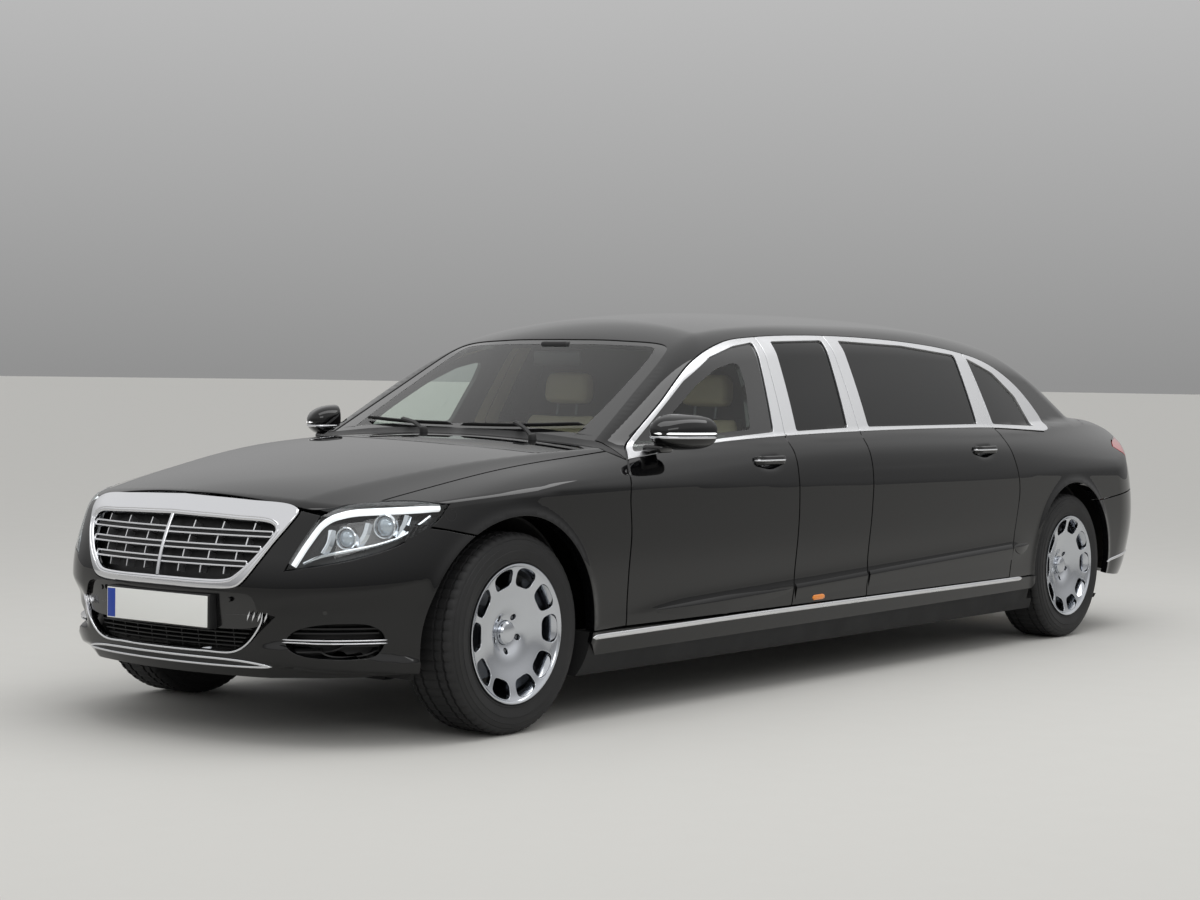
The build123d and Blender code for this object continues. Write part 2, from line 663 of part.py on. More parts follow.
# Steering knuckles, front axle beam with arms, rear axle
HUB_SEAT_Y = 716.0 - SEAT_GAP
BEARING_R = 145.0
BEAM_Z = FLOOR_TOP + SEAT_GAP
BEAM_TOP = 300.0
ARM_END_Y = 690.0
spindle = rod_y(FRONT_AXLE_X, TYRE_RADIUS, 62, -HUB_SEAT_Y, -640)
upright = box(FRONT_AXLE_X - 45, FRONT_AXLE_X + 45, -700, -640, 250, 475)
bearing = rod_z(FRONT_AXLE_X, -KINGPIN_Y, BEARING_R, 200, 520)
pair("knuckle", (spindle + upright) & bearing)
socket = rod_z(FRONT_AXLE_X, -KINGPIN_Y, BEARING_R + SEAT_GAP, 200, 520)
front_axle = box(FRONT_AXLE_X - 150, FRONT_AXLE_X + 60, -440, 440, BEAM_Z, BEAM_TOP)
front_axle = front_axle + box(FRONT_AXLE_X - 40, FRONT_AXLE_X + 40, -ARM_END_Y, ARM_END_Y, 255, 290)
for sign in (-1, 1):
    post = box(FRONT_AXLE_X - 30, FRONT_AXLE_X + 30, sign * 627 - 63, sign * 627 + 63, 255, 460)
    front_axle = front_axle + post
save("front_axle", largest(front_axle - socket - flip(socket)))
rear_axle = rod_y(REAR_AXLE_X, TYRE_RADIUS, 40, -HUB_SEAT_Y, HUB_SEAT_Y)
rear_axle = rear_axle + box(REAR_AXLE_X - 160, REAR_AXLE_X + 160, -180, 180, 262, 480)
rear_axle = rear_axle + box(REAR_AXLE_X - 90, REAR_AXLE_X + 90, -430, 430, BEAM_Z, BEAM_TOP)
for sign in (-1, 1):
    rear_axle = rear_axle + box(REAR_AXLE_X - 60, REAR_AXLE_X + 60, sign * 670 - 40, sign * 670 + 40, 250, 470)
    rear_axle = rear_axle + box(REAR_AXLE_X - 50, REAR_AXLE_X + 50, sign * 540 - 140, sign * 540 + 140, 255, 292)
save("rear_axle", largest(rear_axle))

# Engine as one plain block
save("engine", box(-2560, -1850, -370, 370, BEAM_TOP + SEAT_GAP, 860))

# Cabin: dashboard with bulkhead, steering wheel, seats, partition, rear bulkhead with shelf
DASH_HALF = 755.0
DASH_TOP = 972.0
dash = box(-1620, -1590, -DASH_HALF, DASH_HALF, FLOOR_TOP, 960)
dash = dash + box(-1590, -1290, -DASH_HALF, DASH_HALF, 740, DASH_TOP)
dash = dash + box(-1590, -700, -100, 100, FLOOR_TOP, 640)
dash = dash & hollow
save("dashboard", largest(dash))
WHEEL_HUB = (-1130.0, -385.0, 905.0)
WHEEL_TILT = 24.0
tilt = math.radians(WHEEL_TILT)
ring_plane = Plane(WHEEL_HUB, x_dir=(0, 1, 0), z_dir=(math.cos(tilt), 0, math.sin(tilt)))


def wheel_plane(across, up, along):
    # Plane of the tilted steering wheel, moved inside it and along its column
    origin = ring_plane.from_local_coords((across, up, along))
    return Plane(origin, x_dir=ring_plane.x_dir, z_dir=ring_plane.z_dir)


ring = Solid.make_cylinder(193, 26, wheel_plane(0, 0, -13))
ring = ring - Solid.make_cylinder(165, 40, wheel_plane(0, 0, -20))
spokes = Solid.make_box(350, 34, 16, wheel_plane(-175, -17, -8))
hub = Solid.make_cylinder(62, 40, wheel_plane(0, 0, -25))
column = Solid.make_cylinder(32, 190, wheel_plane(0, 0, -200))
save("steering_wheel", largest((ring + spokes + hub + column) - dash))


def seat(x, y, width, facing, cushion_length=520.0, back_height=620.0):
    # facing 1: looks to the front; -1: looks to the rear
    z0, z1 = FLOOR_TOP + 60, FLOOR_TOP + 285
    side = [
        (x, z0),
        (x + facing * cushion_length, z0 + 10),
        (x + facing * (cushion_length + 215), z1 + back_height),
        (x + facing * (cushion_length + 90), z1 + back_height + 20),
        (x + facing * (cushion_length - 90), z1 + 20),
        (x, z1 + 40),
    ]
    face = Face(Wire(poly_edges([(px, y - width / 2, pz) for px, pz in side])))
    body = Solid.extrude(face, Vector(0, width, 0))
    top = z1 + back_height
    hx = x + facing * (cushion_length + 150)
    head = box(hx - 55, hx + 55, y - 140, y + 140, top + 30, top + 190)
    posts = box(hx - 12, hx + 12, y - 60, y + 60, top - 40, top + 60)
    near, far = sorted((x, x + facing * cushion_length))
    base = box(near + 40, far - 20, y - width / 2 + 60, y + width / 2 - 60, FLOOR_TOP, z0 + 30)
    return largest(body + head + posts + base)


FRONT_SEAT_X = -1090.0
REAR_SEAT_X = 880.0
save("front_seats", seat(FRONT_SEAT_X, -385, 540, 1), seat(FRONT_SEAT_X, 385, 540, 1))
save("rear_seats", seat(REAR_SEAT_X, -385, 620, 1, 540), seat(REAR_SEAT_X, 385, 620, 1, 540))
PARTITION = [(0, 1526), (520, 1490), (600, 1440), (760, 1070), (800, 980), (830, 860), (830, FLOOR_TOP), (0, FLOOR_TOP)]
partition = front_prism(symmetric_front(PARTITION), -290, -240) & hollow
save("partition", largest(partition))
BOOT_FLOOR_Z = 500.0
bulkhead = box(1640, 1670, -640, 640, FLOOR_TOP, 1060) + box(1670, 2540, -640, 640, 1020, 1060)
bulkhead = bulkhead + box(1650, 3090, -438, 438, BOOT_FLOOR_Z, BOOT_FLOOR_Z + 15)
bulkhead = bulkhead & hollow
for sign in (-1, 1):
    far = sign * 900
    near = sign * 444
    bulkhead = bulkhead - rod_y(REAR_AXLE_X, TYRE_RADIUS, ARCH_RADIUS + LINER + 1, min(near, far), max(near, far))
save("rear_bulkhead", largest(bulkhead))
print("done")
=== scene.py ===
import math

import bmesh
import bpy
import numpy as np
from mathutils import Matrix, Vector
from mathutils.geometry import delaunay_2d_cdt


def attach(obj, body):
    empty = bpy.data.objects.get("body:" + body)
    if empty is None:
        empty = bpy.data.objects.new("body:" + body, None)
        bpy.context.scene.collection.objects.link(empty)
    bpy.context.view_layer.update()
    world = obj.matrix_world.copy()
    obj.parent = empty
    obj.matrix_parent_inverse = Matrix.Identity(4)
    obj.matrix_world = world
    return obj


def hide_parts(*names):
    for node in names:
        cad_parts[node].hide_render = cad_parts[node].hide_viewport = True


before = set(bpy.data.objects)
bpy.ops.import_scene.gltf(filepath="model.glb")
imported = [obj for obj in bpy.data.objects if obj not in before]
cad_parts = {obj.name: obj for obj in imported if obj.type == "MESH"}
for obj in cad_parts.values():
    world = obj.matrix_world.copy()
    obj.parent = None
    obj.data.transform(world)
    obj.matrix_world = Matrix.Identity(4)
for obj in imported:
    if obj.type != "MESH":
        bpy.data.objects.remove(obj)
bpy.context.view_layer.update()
mm = 0.001


# colours and shader nodes
def srgb(text):
    parts = [int(text[i:i + 2], 16) / 255 for i in (0, 2, 4)]
    return [c / 12.92 if c <= 0.04045 else ((c + 0.055) / 1.055) ** 2.4 for c in parts] + [1.0]


def addNode(tree, kind, settings=None, values=None, links=None):
    node = tree.nodes.new(kind)
    for key, value in (settings or {}).items():
        setattr(node, key, value)
    for key, value in (values or {}).items():
        node.inputs[key].default_value = value
    for key, source in (links or {}).items():
        tree.links.new(source, node.inputs[key])
    return node


def newMaterial(name):
    mat = bpy.data.materials.new(name)
    mat.use_nodes = True
    tree = mat.node_tree
    tree.nodes.clear()
    return mat, tree, addNode(tree, "ShaderNodeOutputMaterial")


def grain(tree, sizeMm, detail=2.0):
    # noise with spots of a size in mm
    coord = addNode(tree, "ShaderNodeTexCoord")
    return addNode(tree, "ShaderNodeTexNoise", values={"Scale": 1000.0 / sizeMm, "Detail": detail},
                   links={"Vector": coord.outputs["Object"]})


def glossDrift(tree, sizeMm, low, high):
    # roughness that changes slowly between two values
    slow = grain(tree, sizeMm, 3.0)
    return addNode(tree, "ShaderNodeMapRange",
                   values={"From Min": 0.3, "From Max": 0.7, "To Min": low, "To Max": high},
                   links={"Value": slow.outputs["Fac"]})


def plainMaterial(name, colour, rough, metal=0.0, grainMm=2.0, heightMm=0.02, roughSwing=0.06, values=None):
    # one finish: base colour, a fine grain in the surface and a slow change of gloss
    mat, tree, out = newMaterial(name)
    shader = addNode(tree, "ShaderNodeBsdfPrincipled",
                     values={"Base Color": srgb(colour), "Metallic": metal})
    for key, value in (values or {}).items():
        shader.inputs[key].default_value = value
    fine = grain(tree, grainMm)
    bump = addNode(tree, "ShaderNodeBump", values={"Strength": 1.0, "Distance": heightMm * mm},
                   links={"Height": fine.outputs["Fac"]})
    drift = glossDrift(tree, 180.0, max(rough - roughSwing, 0.0), rough + roughSwing)
    tree.links.new(bump.outputs[0], shader.inputs["Normal"])
    tree.links.new(drift.outputs[0], shader.inputs["Roughness"])
    tree.links.new(shader.outputs[0], out.inputs[0])
    return mat


def glassMaterial(name, tint, density, shine=1.0):
    # thin safety glass: mirror-like film over a tinted see-through sheet
    mat, tree, out = newMaterial(name)
    clear = addNode(tree, "ShaderNodeBsdfTransparent", values={"Color": srgb(tint)})
    dark = addNode(tree, "ShaderNodeBsdfDiffuse", values={"Color": srgb("050607")})
    sheet = addNode(tree, "ShaderNodeMixShader", values={"Fac": density},
                    links={1: clear.outputs[0], 2: dark.outputs[0]})
    drift = glossDrift(tree, 240.0, 0.0, 0.012)
    film = addNode(tree, "ShaderNodeBsdfGlossy", values={"Color": (1, 1, 1, 1)},
                   links={"Roughness": drift.outputs[0]})
    facing = addNode(tree, "ShaderNodeLayerWeight", values={"Blend": 0.5})
    steep = addNode(tree, "ShaderNodeMath", {"operation": "POWER"}, {1: 5.0}, {0: facing.outputs["Facing"]})
    edge = addNode(tree, "ShaderNodeMath", {"operation": "MULTIPLY_ADD"}, {1: 0.9 * shine, 2: 0.04 * shine},
                   {0: steep.outputs[0]})
    mix = addNode(tree, "ShaderNodeMixShader",
                  links={"Fac": edge.outputs[0], 1: sheet.outputs[0], 2: film.outputs[0]})
    tree.links.new(mix.outputs[0], out.inputs[0])
    return mat


# gloss black paint under clear coat
paint = plainMaterial("black gloss paint", "050506", 0.3, grainMm=1.6, heightMm=0.0006, roughSwing=0.03,
                      values={"Coat Weight": 1.0, "Coat Roughness": 0.008, "Coat IOR": 1.5,
                              "Specular IOR Level": 0.0})
# polished chrome strip
chrome = plainMaterial("polished chrome", "E2E3E6", 0.07, 1.0, grainMm=3.0, heightMm=0.0008,
                       roughSwing=0.02)
# satin finished bright alloy of the window surround
satin = plainMaterial("satin bright alloy", "E6E7E9", 0.3, 1.0, grainMm=0.8, heightMm=0.002,
                      roughSwing=0.04)
# clear glass with a light green tint
clearGlass = glassMaterial("clear green tinted glass", "F0F5F2", 0.0)
# inner face of that glass, which only tints what is behind it
clearInner = glassMaterial("inner face of clear glass", "F4F8F6", 0.0, shine=0.0)
# privacy glass of the rear cabin
darkGlass = glassMaterial("dark privacy glass", "2A2D30", 0.72)
# black rubber of seals
rubber = plainMaterial("black seal rubber", "101011", 0.6, grainMm=0.7, heightMm=0.02)
# dark grained plastic
plastic = plainMaterial("dark grained plastic", "151516", 0.55, grainMm=0.9, heightMm=0.03)
# printed black edge of the windscreen
ceramic = plainMaterial("black printed glass edge", "0A0A0B", 0.12, grainMm=2.0, heightMm=0.001,
                        values={"Coat Weight": 0.6})
# amber lamp lens
amber = plainMaterial("amber lens", "F08A12", 0.12, grainMm=2.5, heightMm=0.05,
                      values={"Coat Weight": 0.8, "Subsurface Weight": 0.0})
# red lamp lens
redLens = plainMaterial("red lens", "A80812", 0.1, grainMm=2.5, heightMm=0.05, values={"Coat Weight": 0.9})
# milky white light guide
lightGuide = plainMaterial("white light guide", "F4F6F8", 0.25, grainMm=3.0, heightMm=0.02,
                           values={"Coat Weight": 0.5, "Emission Color": (1, 1, 1, 1),
                                   "Emission Strength": 0.7})
# clear lamp cover
lampCover = glassMaterial("clear lamp cover", "F2F5F6", 0.0)
# polished glass of a projector
lampEye = plainMaterial("projector glass", "AEB9C2", 0.05, 0.55, grainMm=6.0, heightMm=0.001,
                        roughSwing=0.02, values={"Coat Weight": 1.0})
# black moulded lamp housing
housing = plainMaterial("dark lamp housing", "1B1C1F", 0.3, grainMm=1.2, heightMm=0.01)
# bright metal reflector
reflector = plainMaterial("bright lamp reflector", "D9DCE0", 0.12, 1.0, grainMm=4.0, heightMm=0.004)
# tyre rubber
tyreRubber = plainMaterial("tyre rubber", "1A1A1B", 0.7, grainMm=0.8, heightMm=0.05)
# polished forged alloy
alloy = plainMaterial("polished alloy", "C6C9CE", 0.14, 1.0, grainMm=1.5, heightMm=0.002, roughSwing=0.03)
# blank white plate
plateWhite = plainMaterial("blank white plate", "EEEFEC", 0.35, grainMm=1.0, heightMm=0.004)
# plain blue strip of the plate
plateBlue = plainMaterial("plain blue plate strip", "1B3FA0", 0.35, grainMm=1.0, heightMm=0.004)
# cast iron and steel of brakes and axles
steel = plainMaterial("dull steel", "74777B", 0.42, 1.0, grainMm=1.0, heightMm=0.02)
# underbody coating
underbody = plainMaterial("black underbody coating", "131314", 0.8, grainMm=1.4, heightMm=0.12)
# cream leather with a fine pebble
leather = plainMaterial("cream leather", "CDBFA6", 0.48, grainMm=1.1, heightMm=0.08)
# dark leather
darkLeather = plainMaterial("dark leather", "1C1A19", 0.5, grainMm=1.1, heightMm=0.08)
# black gloss plastic
glossBlack = plainMaterial("black gloss plastic", "0B0B0C", 0.16, grainMm=2.0, heightMm=0.001,
                           values={"Coat Weight": 0.5})
# lining of the doors and roof
lining = plainMaterial("cream trim", "B9AB92", 0.62, grainMm=1.2, heightMm=0.05)


# the skin of the body as a field: negative inside
class Curve:
    # natural cubic through a table of places and values
    def __init__(self, xs, ys):
        self.x = np.array(xs, float)
        self.y = np.array(ys, float)
        n = len(xs)
        h = np.diff(self.x)
        a = np.zeros((n, n))
        r = np.zeros(n)
        a[0, 0] = a[-1, -1] = 1
        for i in range(1, n - 1):
            a[i, i - 1], a[i, i], a[i, i + 1] = h[i - 1], 2 * (h[i - 1] + h[i]), h[i]
            r[i] = 6 * ((self.y[i + 1] - self.y[i]) / h[i] - (self.y[i] - self.y[i - 1]) / h[i - 1])
        self.m = np.linalg.solve(a, r)

    def __call__(self, v):
        v = np.clip(v, self.x[0], self.x[-1])
        i = np.clip(np.searchsorted(self.x, v) - 1, 0, len(self.x) - 2)
        h = self.x[i + 1] - self.x[i]
        a = (self.x[i + 1] - v) / h
        b = (v - self.x[i]) / h
        return (a * self.y[i] + b * self.y[i + 1]
                + ((a ** 3 - a) * self.m[i] + (b ** 3 - b) * self.m[i + 1]) * h * h / 6)


frontAxle, rearAxle, wheelRadius, archRadius = -2365.0, 2053.0, 365.0, 422.0
# z, set-back of nose and tail, half widths at front axle, middle and rear axle
planLevels = [
    (150, 150, 230, 862, 880, 862), (260, 45, 110, 915, 932, 915), (400, 8, 40, 934, 944, 934),
    (560, 0, 0, 940, 949, 942), (720, 42, 12, 940, 950, 944), (860, 110, 50, 938, 948, 940),
    (1010, 190, 105, 925, 940, 925), (1220, 330, 200, 900, 925, 900),
]
# x, centre height, half width of the crown, height there, height of the side crease
deckStations = [
    (-3400, 730, 560, 690, 560), (-3144, 848, 575, 798, 668), (-2700, 955, 640, 902, 795),
    (-2300, 1014, 710, 965, 868), (-1750, 1058, 795, 1012, 888), (-1100, 1074, 852, 1036, 889),
    (-500, 1088, 876, 1052, 889), (600, 1105, 874, 1070, 884), (1500, 1112, 858, 1066, 868),
    (2100, 1132, 792, 1090, 860), (2700, 1132, 690, 1096, 850), (3050, 1084, 640, 1044, 832),
    (3400, 960, 600, 915, 790),
]
# x, roof height, narrowing of the half width
roofStations = [
    (-2000, 1205, 130), (-1500, 1375, 76), (-1000, 1500, 28), (-500, 1568, 7), (200, 1594, 0),
    (900, 1592, 4), (1500, 1552, 24), (2000, 1474, 72), (2900, 1250, 195),
]
# half width, height of the bumper's brow, top and foot of its blade
browStations = [(380, 500, 326, 304), (511, 516, 344, 290), (589, 529, 340, 280), (723, 540, 312, 266),
                (838, 574, 284, 252), (940, 640, 262, 238)]


def curvesOf(table):
    # one curve for each column after the first
    first, *others = zip(*table)
    return [Curve(first, column) for column in others]


planCurves, deckCurves, roofCurves, browCurves = [
    curvesOf(table) for table in (planLevels, deckStations, roofStations, browStations)]
noseX, tailX = -3250.0, 3250.0
creaseY, beltZ, beltY, tumble = 946.0, 1060.0, 860.0, 0.452
screenBase, screenTop, screenR = (-1800.0, 1010.0), (-996.0, 1445.0), 2690.0
rearBase, rearTop, rearR = (2650.0, 1105.0), (1965.0, 1460.0), 2300.0


def roundMax(a, b, r):
    u = np.maximum(a + r, 0)
    v = np.maximum(b + r, 0)
    return np.hypot(u, v) - r + np.minimum(np.maximum(a + r, b + r), 0)


def ramp(v, a, b):
    t = np.clip((v - a) / (b - a), 0, 1)
    return t * t * (3 - 2 * t)


def planField(x, y, z):
    nose, tail, wf, wm, wr = [c(z) for c in planCurves]
    ay = np.abs(y)
    nx = noseX + nose
    tx = tailX - tail
    ax, cx = frontAxle, rearAxle
    d = 2 * (ax * (wm - wr) + cx * (wf - wm))
    a2, b2, c2 = ax * ax + wf * wf, wm * wm, cx * cx + wr * wr
    ux = (a2 * (wm - wr) + b2 * (wr - wf) + c2 * (wf - wm)) / d
    uy = (a2 * cx + b2 * (ax - cx) + c2 * (-ax)) / d
    rs = np.hypot(ax - ux, wf - uy)
    side = np.hypot(x - ux, ay - uy) - rs
    # soft rising line low on the doors
    rise = z - (397 + (x + 1421) * 0.0342)
    along = ramp(x, -1950, -1300) * (1 - ramp(x, 1350, 1600))
    side = side - along * 9.0 * np.exp(-(np.sqrt(rise * rise + 25) + 0.45 * rise) / 46)
    # dished cups behind the door handles
    for x0, z0 in ((-749, 958), (1120, 971)):
        side = side + 20.0 * np.exp(-(((x - x0) / 92.0) ** 2 + ((z - z0) / 37.0) ** 2) ** 2)
    # rolled lips round the wheel arches
    for axle in (frontAxle, rearAxle):
        rho = np.hypot(x - axle, z - wheelRadius)
        side = side - 7.0 * np.exp(-((rho - archRadius) / 24.0) ** 2)
    front = np.where(x < nx + 1150, np.hypot(x - nx - 1750, y) - 1750, -600.0)
    back = np.where(x > tx - 2000, np.hypot(x - tx + 2600, y) - 2600, -600.0)
    # brow over the side intakes of the front bumper, and the blade below them
    brow, bladeTop, bladeFoot = [c(ay) for c in browCurves]
    corner = ramp(ay, 430, 530) * (1 - ramp(x, -2850, -2745))
    dent = 27.0 * ramp(z, bladeTop - 4, bladeTop + 24) * (1 - ramp(z, brow - 80, brow))
    tuck = 22.0 * (1 - ramp(z, bladeFoot - 24, bladeFoot))
    return roundMax(roundMax(side, front, 470.0), back, 430.0) + corner * (dent + tuck)


def deckField(x, y, z):
    zc, ye, ze, zl = [c(x) for c in deckCurves]
    ay = np.abs(y)
    crown = zc - (zc - ze) * (ay / ye) ** 2
    t = (ay - ye) / (creaseY - ye)
    slope = (ze - zl) / (creaseY - ye)
    bulge = 14.0 * np.sqrt(1 + slope * slope)
    shoulder = np.where(t < 1, ze - (ze - zl) * t + bulge * 6.75 * t * t * (1 - t),
                        zl - (ay - creaseY) * slope * 1.5)
    one = (z - crown)
    two = (z - shoulder) / np.sqrt(1 + slope * slope)
    return roundMax(one, two, 26.0)


def greenField(x, y, z):
    zr, narrow = [c(x) for c in roofCurves]
    ay = np.abs(y)
    t = np.clip((z - beltZ) / 420.0, 0, 1)
    side = (ay - (beltY - narrow - tumble * (z - beltZ) + 28 * t * (1 - t))) / math.hypot(1, tumble)
    roof = z - (zr - 72.0 * (ay / 622.0) ** 2)
    run, rise = screenTop[0] - screenBase[0], screenTop[1] - screenBase[1]
    bend = screenR - np.sqrt(np.maximum(screenR ** 2 - y * y, 1))
    screen = (screenBase[0] + (z - screenBase[1]) * run / rise + bend - x) * rise / math.hypot(run, rise)
    run2, rise2 = rearTop[0] - rearBase[0], rearTop[1] - rearBase[1]
    bend2 = rearR - np.sqrt(np.maximum(rearR ** 2 - y * y, 1))
    rear = (x - (rearBase[0] + (z - rearBase[1]) * run2 / rise2 - bend2)) * rise2 / math.hypot(run2, rise2)
    d = roundMax(side, roof, 95.0)
    d = roundMax(d, screen, 48.0)
    return roundMax(d, rear, 90.0)


def field(p):
    x, y, z = p[..., 0], p[..., 1], p[..., 2]
    soft = 16.0 + 34.0 * (1 - ramp(x, -3120, -2750)) + 10.0 * ramp(x, 2800, 3100)
    low = roundMax(planField(x, y, z), deckField(x, y, z), soft)
    up = greenField(x, y, z)
    up = np.where(z < 900, 500.0, up)
    return -roundMax(-low, -up, 14.0)


def unit(v):
    return v / np.maximum(np.linalg.norm(v, axis=-1, keepdims=True), 1e-9)


def normalAt(p):
    return unit(np.stack([field(p + e) - field(p - e) for e in np.eye(3) * 0.6], -1))


# ways of reading the skin: flat coordinates to rays and back
endR = 900.0  # radius that turns an angle into mm, for the nose and the tail
greenR, greenZ = 700.0, 880.0  # fan over the roof
lidR, lidX, lidZ = 450.0, 2640.0, 640.0  # fan over the boot lid
flankR, flankY, flankZ = 600.0, -350.0, 620.0  # fan out to the left side


def raysSide(uv):
    n = len(uv)
    return np.stack([uv[:, 0], np.full(n, -1200.0), uv[:, 1]], -1), np.tile((0.0, 1.0, 0.0), (n, 1)), 1150.0


def raysTop(uv):
    n = len(uv)
    return np.stack([uv[:, 0], uv[:, 1], np.full(n, 1750.0)], -1), np.tile((0.0, 0.0, -1.0), (n, 1)), 1300.0


def raysFront(uv):
    n = len(uv)
    return np.stack([np.full(n, -3500.0), uv[:, 0], uv[:, 1]], -1), np.tile((1.0, 0.0, 0.0), (n, 1)), 3000.0


def raysBack(uv):
    n = len(uv)
    return np.stack([np.full(n, 3500.0), uv[:, 0], uv[:, 1]], -1), np.tile((-1.0, 0.0, 0.0), (n, 1)), 2600.0


def radial(cx, sign):
    def rays(uv):
        a = uv[:, 0] / endR
        e = np.stack([sign * np.cos(a), np.sin(a), 0 * a], -1)
        c = np.stack([np.full(len(a), cx), 0 * a, uv[:, 1]], -1)
        return c + 1500 * e, -e, 1500.0

    def back(p):
        return np.stack([endR * np.arctan2(p[:, 1], sign * (p[:, 0] - cx)), p[:, 2]], -1)
    return rays, back


def raysGreen(uv):
    a = uv[:, 1] / greenR
    e = np.stack([0 * a, np.sin(a), np.cos(a)], -1)
    c = np.stack([uv[:, 0], 0 * a, np.full(len(a), greenZ)], -1)
    return c + 1100 * e, -e, 1050.0


def raysLid(uv):
    a = uv[:, 0] / lidR
    e = np.stack([np.sin(a), 0 * a, np.cos(a)], -1)
    c = np.stack([np.full(len(a), lidX), uv[:, 1], np.full(len(a), lidZ)], -1)
    return c + 900 * e, -e, 880.0


def raysFlank(uv):
    # fans out sideways from a line inside the left half of the car
    a = uv[:, 1] / flankR
    e = np.stack([0 * a, -np.cos(a), np.sin(a)], -1)
    c = np.stack([uv[:, 0], np.full(len(a), flankY), np.full(len(a), flankZ)], -1)
    return c + 900 * e, -e, 890.0


def raysCorner(uv):
    # square to the left front corner
    h = math.sqrt(0.5)
    start = np.stack([(uv[:, 0] - 2700.0) * h, (-uv[:, 0] - 2700.0) * h, uv[:, 1]], -1)
    return start, np.tile((h, h, 0.0), (len(uv), 1)), 1300.0


noseRays, noseBack = radial(-2420.0, -1.0)
tailRays, tailBack = radial(2420.0, 1.0)
readers = {
    "side": (raysSide, lambda p: p[:, [0, 2]]),
    "top": (raysTop, lambda p: p[:, [0, 1]]),
    "front": (raysFront, lambda p: p[:, [1, 2]]),
    "back": (raysBack, lambda p: p[:, [1, 2]]),
    "nose": (noseRays, noseBack),
    "tail": (tailRays, tailBack),
    "green": (raysGreen, lambda p: np.stack([p[:, 0], greenR * np.arctan2(p[:, 1], p[:, 2] - greenZ)], -1)),
    "flank": (raysFlank, lambda p: np.stack([p[:, 0],
                                             flankR * np.arctan2(p[:, 2] - flankZ, -(p[:, 1] - flankY))],
                                            -1)),
    "corner": (raysCorner, lambda p: np.stack([(p[:, 0] - p[:, 1]) * math.sqrt(0.5), p[:, 2]], -1)),
    "lid": (raysLid, lambda p: np.stack([lidR * np.arctan2(p[:, 0] - lidX, p[:, 2] - lidZ), p[:, 1]], -1)),
}


def onSkin(reader, uv):
    # first place where each ray meets the skin
    start, direction, reach = readers[reader][0](np.asarray(uv, float))
    lo = np.zeros(len(start))
    hi = np.full(len(start), reach)
    found = np.zeros(len(start), bool)
    steps = 90
    for k in range(1, steps + 1):
        t = reach * k / steps
        inside = field(start + direction * t) < 0
        fresh = inside & ~found
        hi = np.where(fresh, t, hi)
        lo = np.where(fresh, t - reach / steps, lo)
        found |= inside
    for _ in range(24):
        mid = (lo + hi) / 2
        inside = field(start + direction * mid[:, None]) < 0
        hi = np.where(inside, mid, hi)
        lo = np.where(inside, lo, mid)
    return start + direction * hi[:, None]


def smoothPath(points, step=10.0, closed=False, sharp=()):
    # rounded line through a few places; the ones named in sharp stay corners
    pts = np.array(points, float)
    n = len(pts)
    out = []
    last = n if closed else n - 1
    for i in range(last):
        p1, p2 = pts[i], pts[(i + 1) % n]
        p0 = pts[i - 1] if (closed or i > 0) else p1 * 2 - p2
        p3 = pts[(i + 2) % n] if (closed or i + 2 < n) else p2 * 2 - p1
        if i in sharp:
            p0 = p1 * 2 - p2
        if (i + 1) % n in sharp:
            p3 = p2 * 2 - p1
        d0, d1, d2 = [max(np.linalg.norm(b - a), 1e-6) ** 0.5 for a, b in ((p0, p1), (p1, p2), (p2, p3))]
        m1 = (p2 - p1) + d1 * ((p1 - p0) / d0 - (p2 - p0) / (d0 + d1))
        m2 = (p2 - p1) + d1 * ((p3 - p2) / d2 - (p3 - p1) / (d1 + d2))
        count = max(int(np.linalg.norm(p2 - p1) / step), 1)
        t = np.arange(count)[:, None] / count
        out.append((2 * t ** 3 - 3 * t ** 2 + 1) * p1 + (t ** 3 - 2 * t ** 2 + t) * m1
                   + (-2 * t ** 3 + 3 * t ** 2) * p2 + (t ** 3 - t ** 2) * m2)
    if not closed:
        out.append(pts[-1:])
    return np.vstack(out)


def loopOf(*curves, step=9.0):
    # one closed loop from lines laid end to end, evenly spaced, corners kept
    pts = []
    for c in curves:
        c = np.asarray(c, float)
        for a, b in zip(c, c[1:]):
            count = max(int(round(np.linalg.norm(b - a) / step)), 1)
            for k in range(count):
                pts.append(a + (b - a) * k / count)
        pts.append(c[-1])
    keep = [pts[0]]
    for p in pts[1:]:
        if np.linalg.norm(p - keep[-1]) > step * 0.35:
            keep.append(p)
    if np.linalg.norm(keep[0] - keep[-1]) < step * 0.35:
        keep.pop()
    return np.array(keep)


def area(loop):
    x, y = loop[:, 0], loop[:, 1]
    return 0.5 * np.sum(x * np.roll(y, -1) - np.roll(x, -1) * y)


def shrink(loop, amount):
    # moves a loop inwards by an amount
    if area(loop) < 0:
        loop = loop[::-1]
    a = loop - np.roll(loop, 1, 0)
    b = np.roll(loop, -1, 0) - loop
    a, b = unit(a), unit(b)
    na = np.stack([-a[:, 1], a[:, 0]], -1)
    nb = np.stack([-b[:, 1], b[:, 0]], -1)
    m = na + nb
    m = m / np.maximum(np.sum(m * m, 1, keepdims=True), 0.6) * 2
    return loop + m * amount


def roundCorners(loop, passes):
    # eases the corners of an evenly spaced loop
    out = loop
    for _ in range(passes):
        out = (np.roll(out, 1, 0) + 2 * out + np.roll(out, -1, 0)) / 4
    return out


def insideLoop(pts, loop):
    x, y = pts[:, 0][:, None], pts[:, 1][:, None]
    x1, y1 = loop[:, 0], loop[:, 1]
    x2, y2 = np.roll(x1, -1), np.roll(y1, -1)
    cross = ((y1 > y) != (y2 > y)) & (x < (x2 - x1) * (y - y1) / (y2 - y1 + 1e-12) + x1)
    return np.sum(cross, 1) % 2 == 1


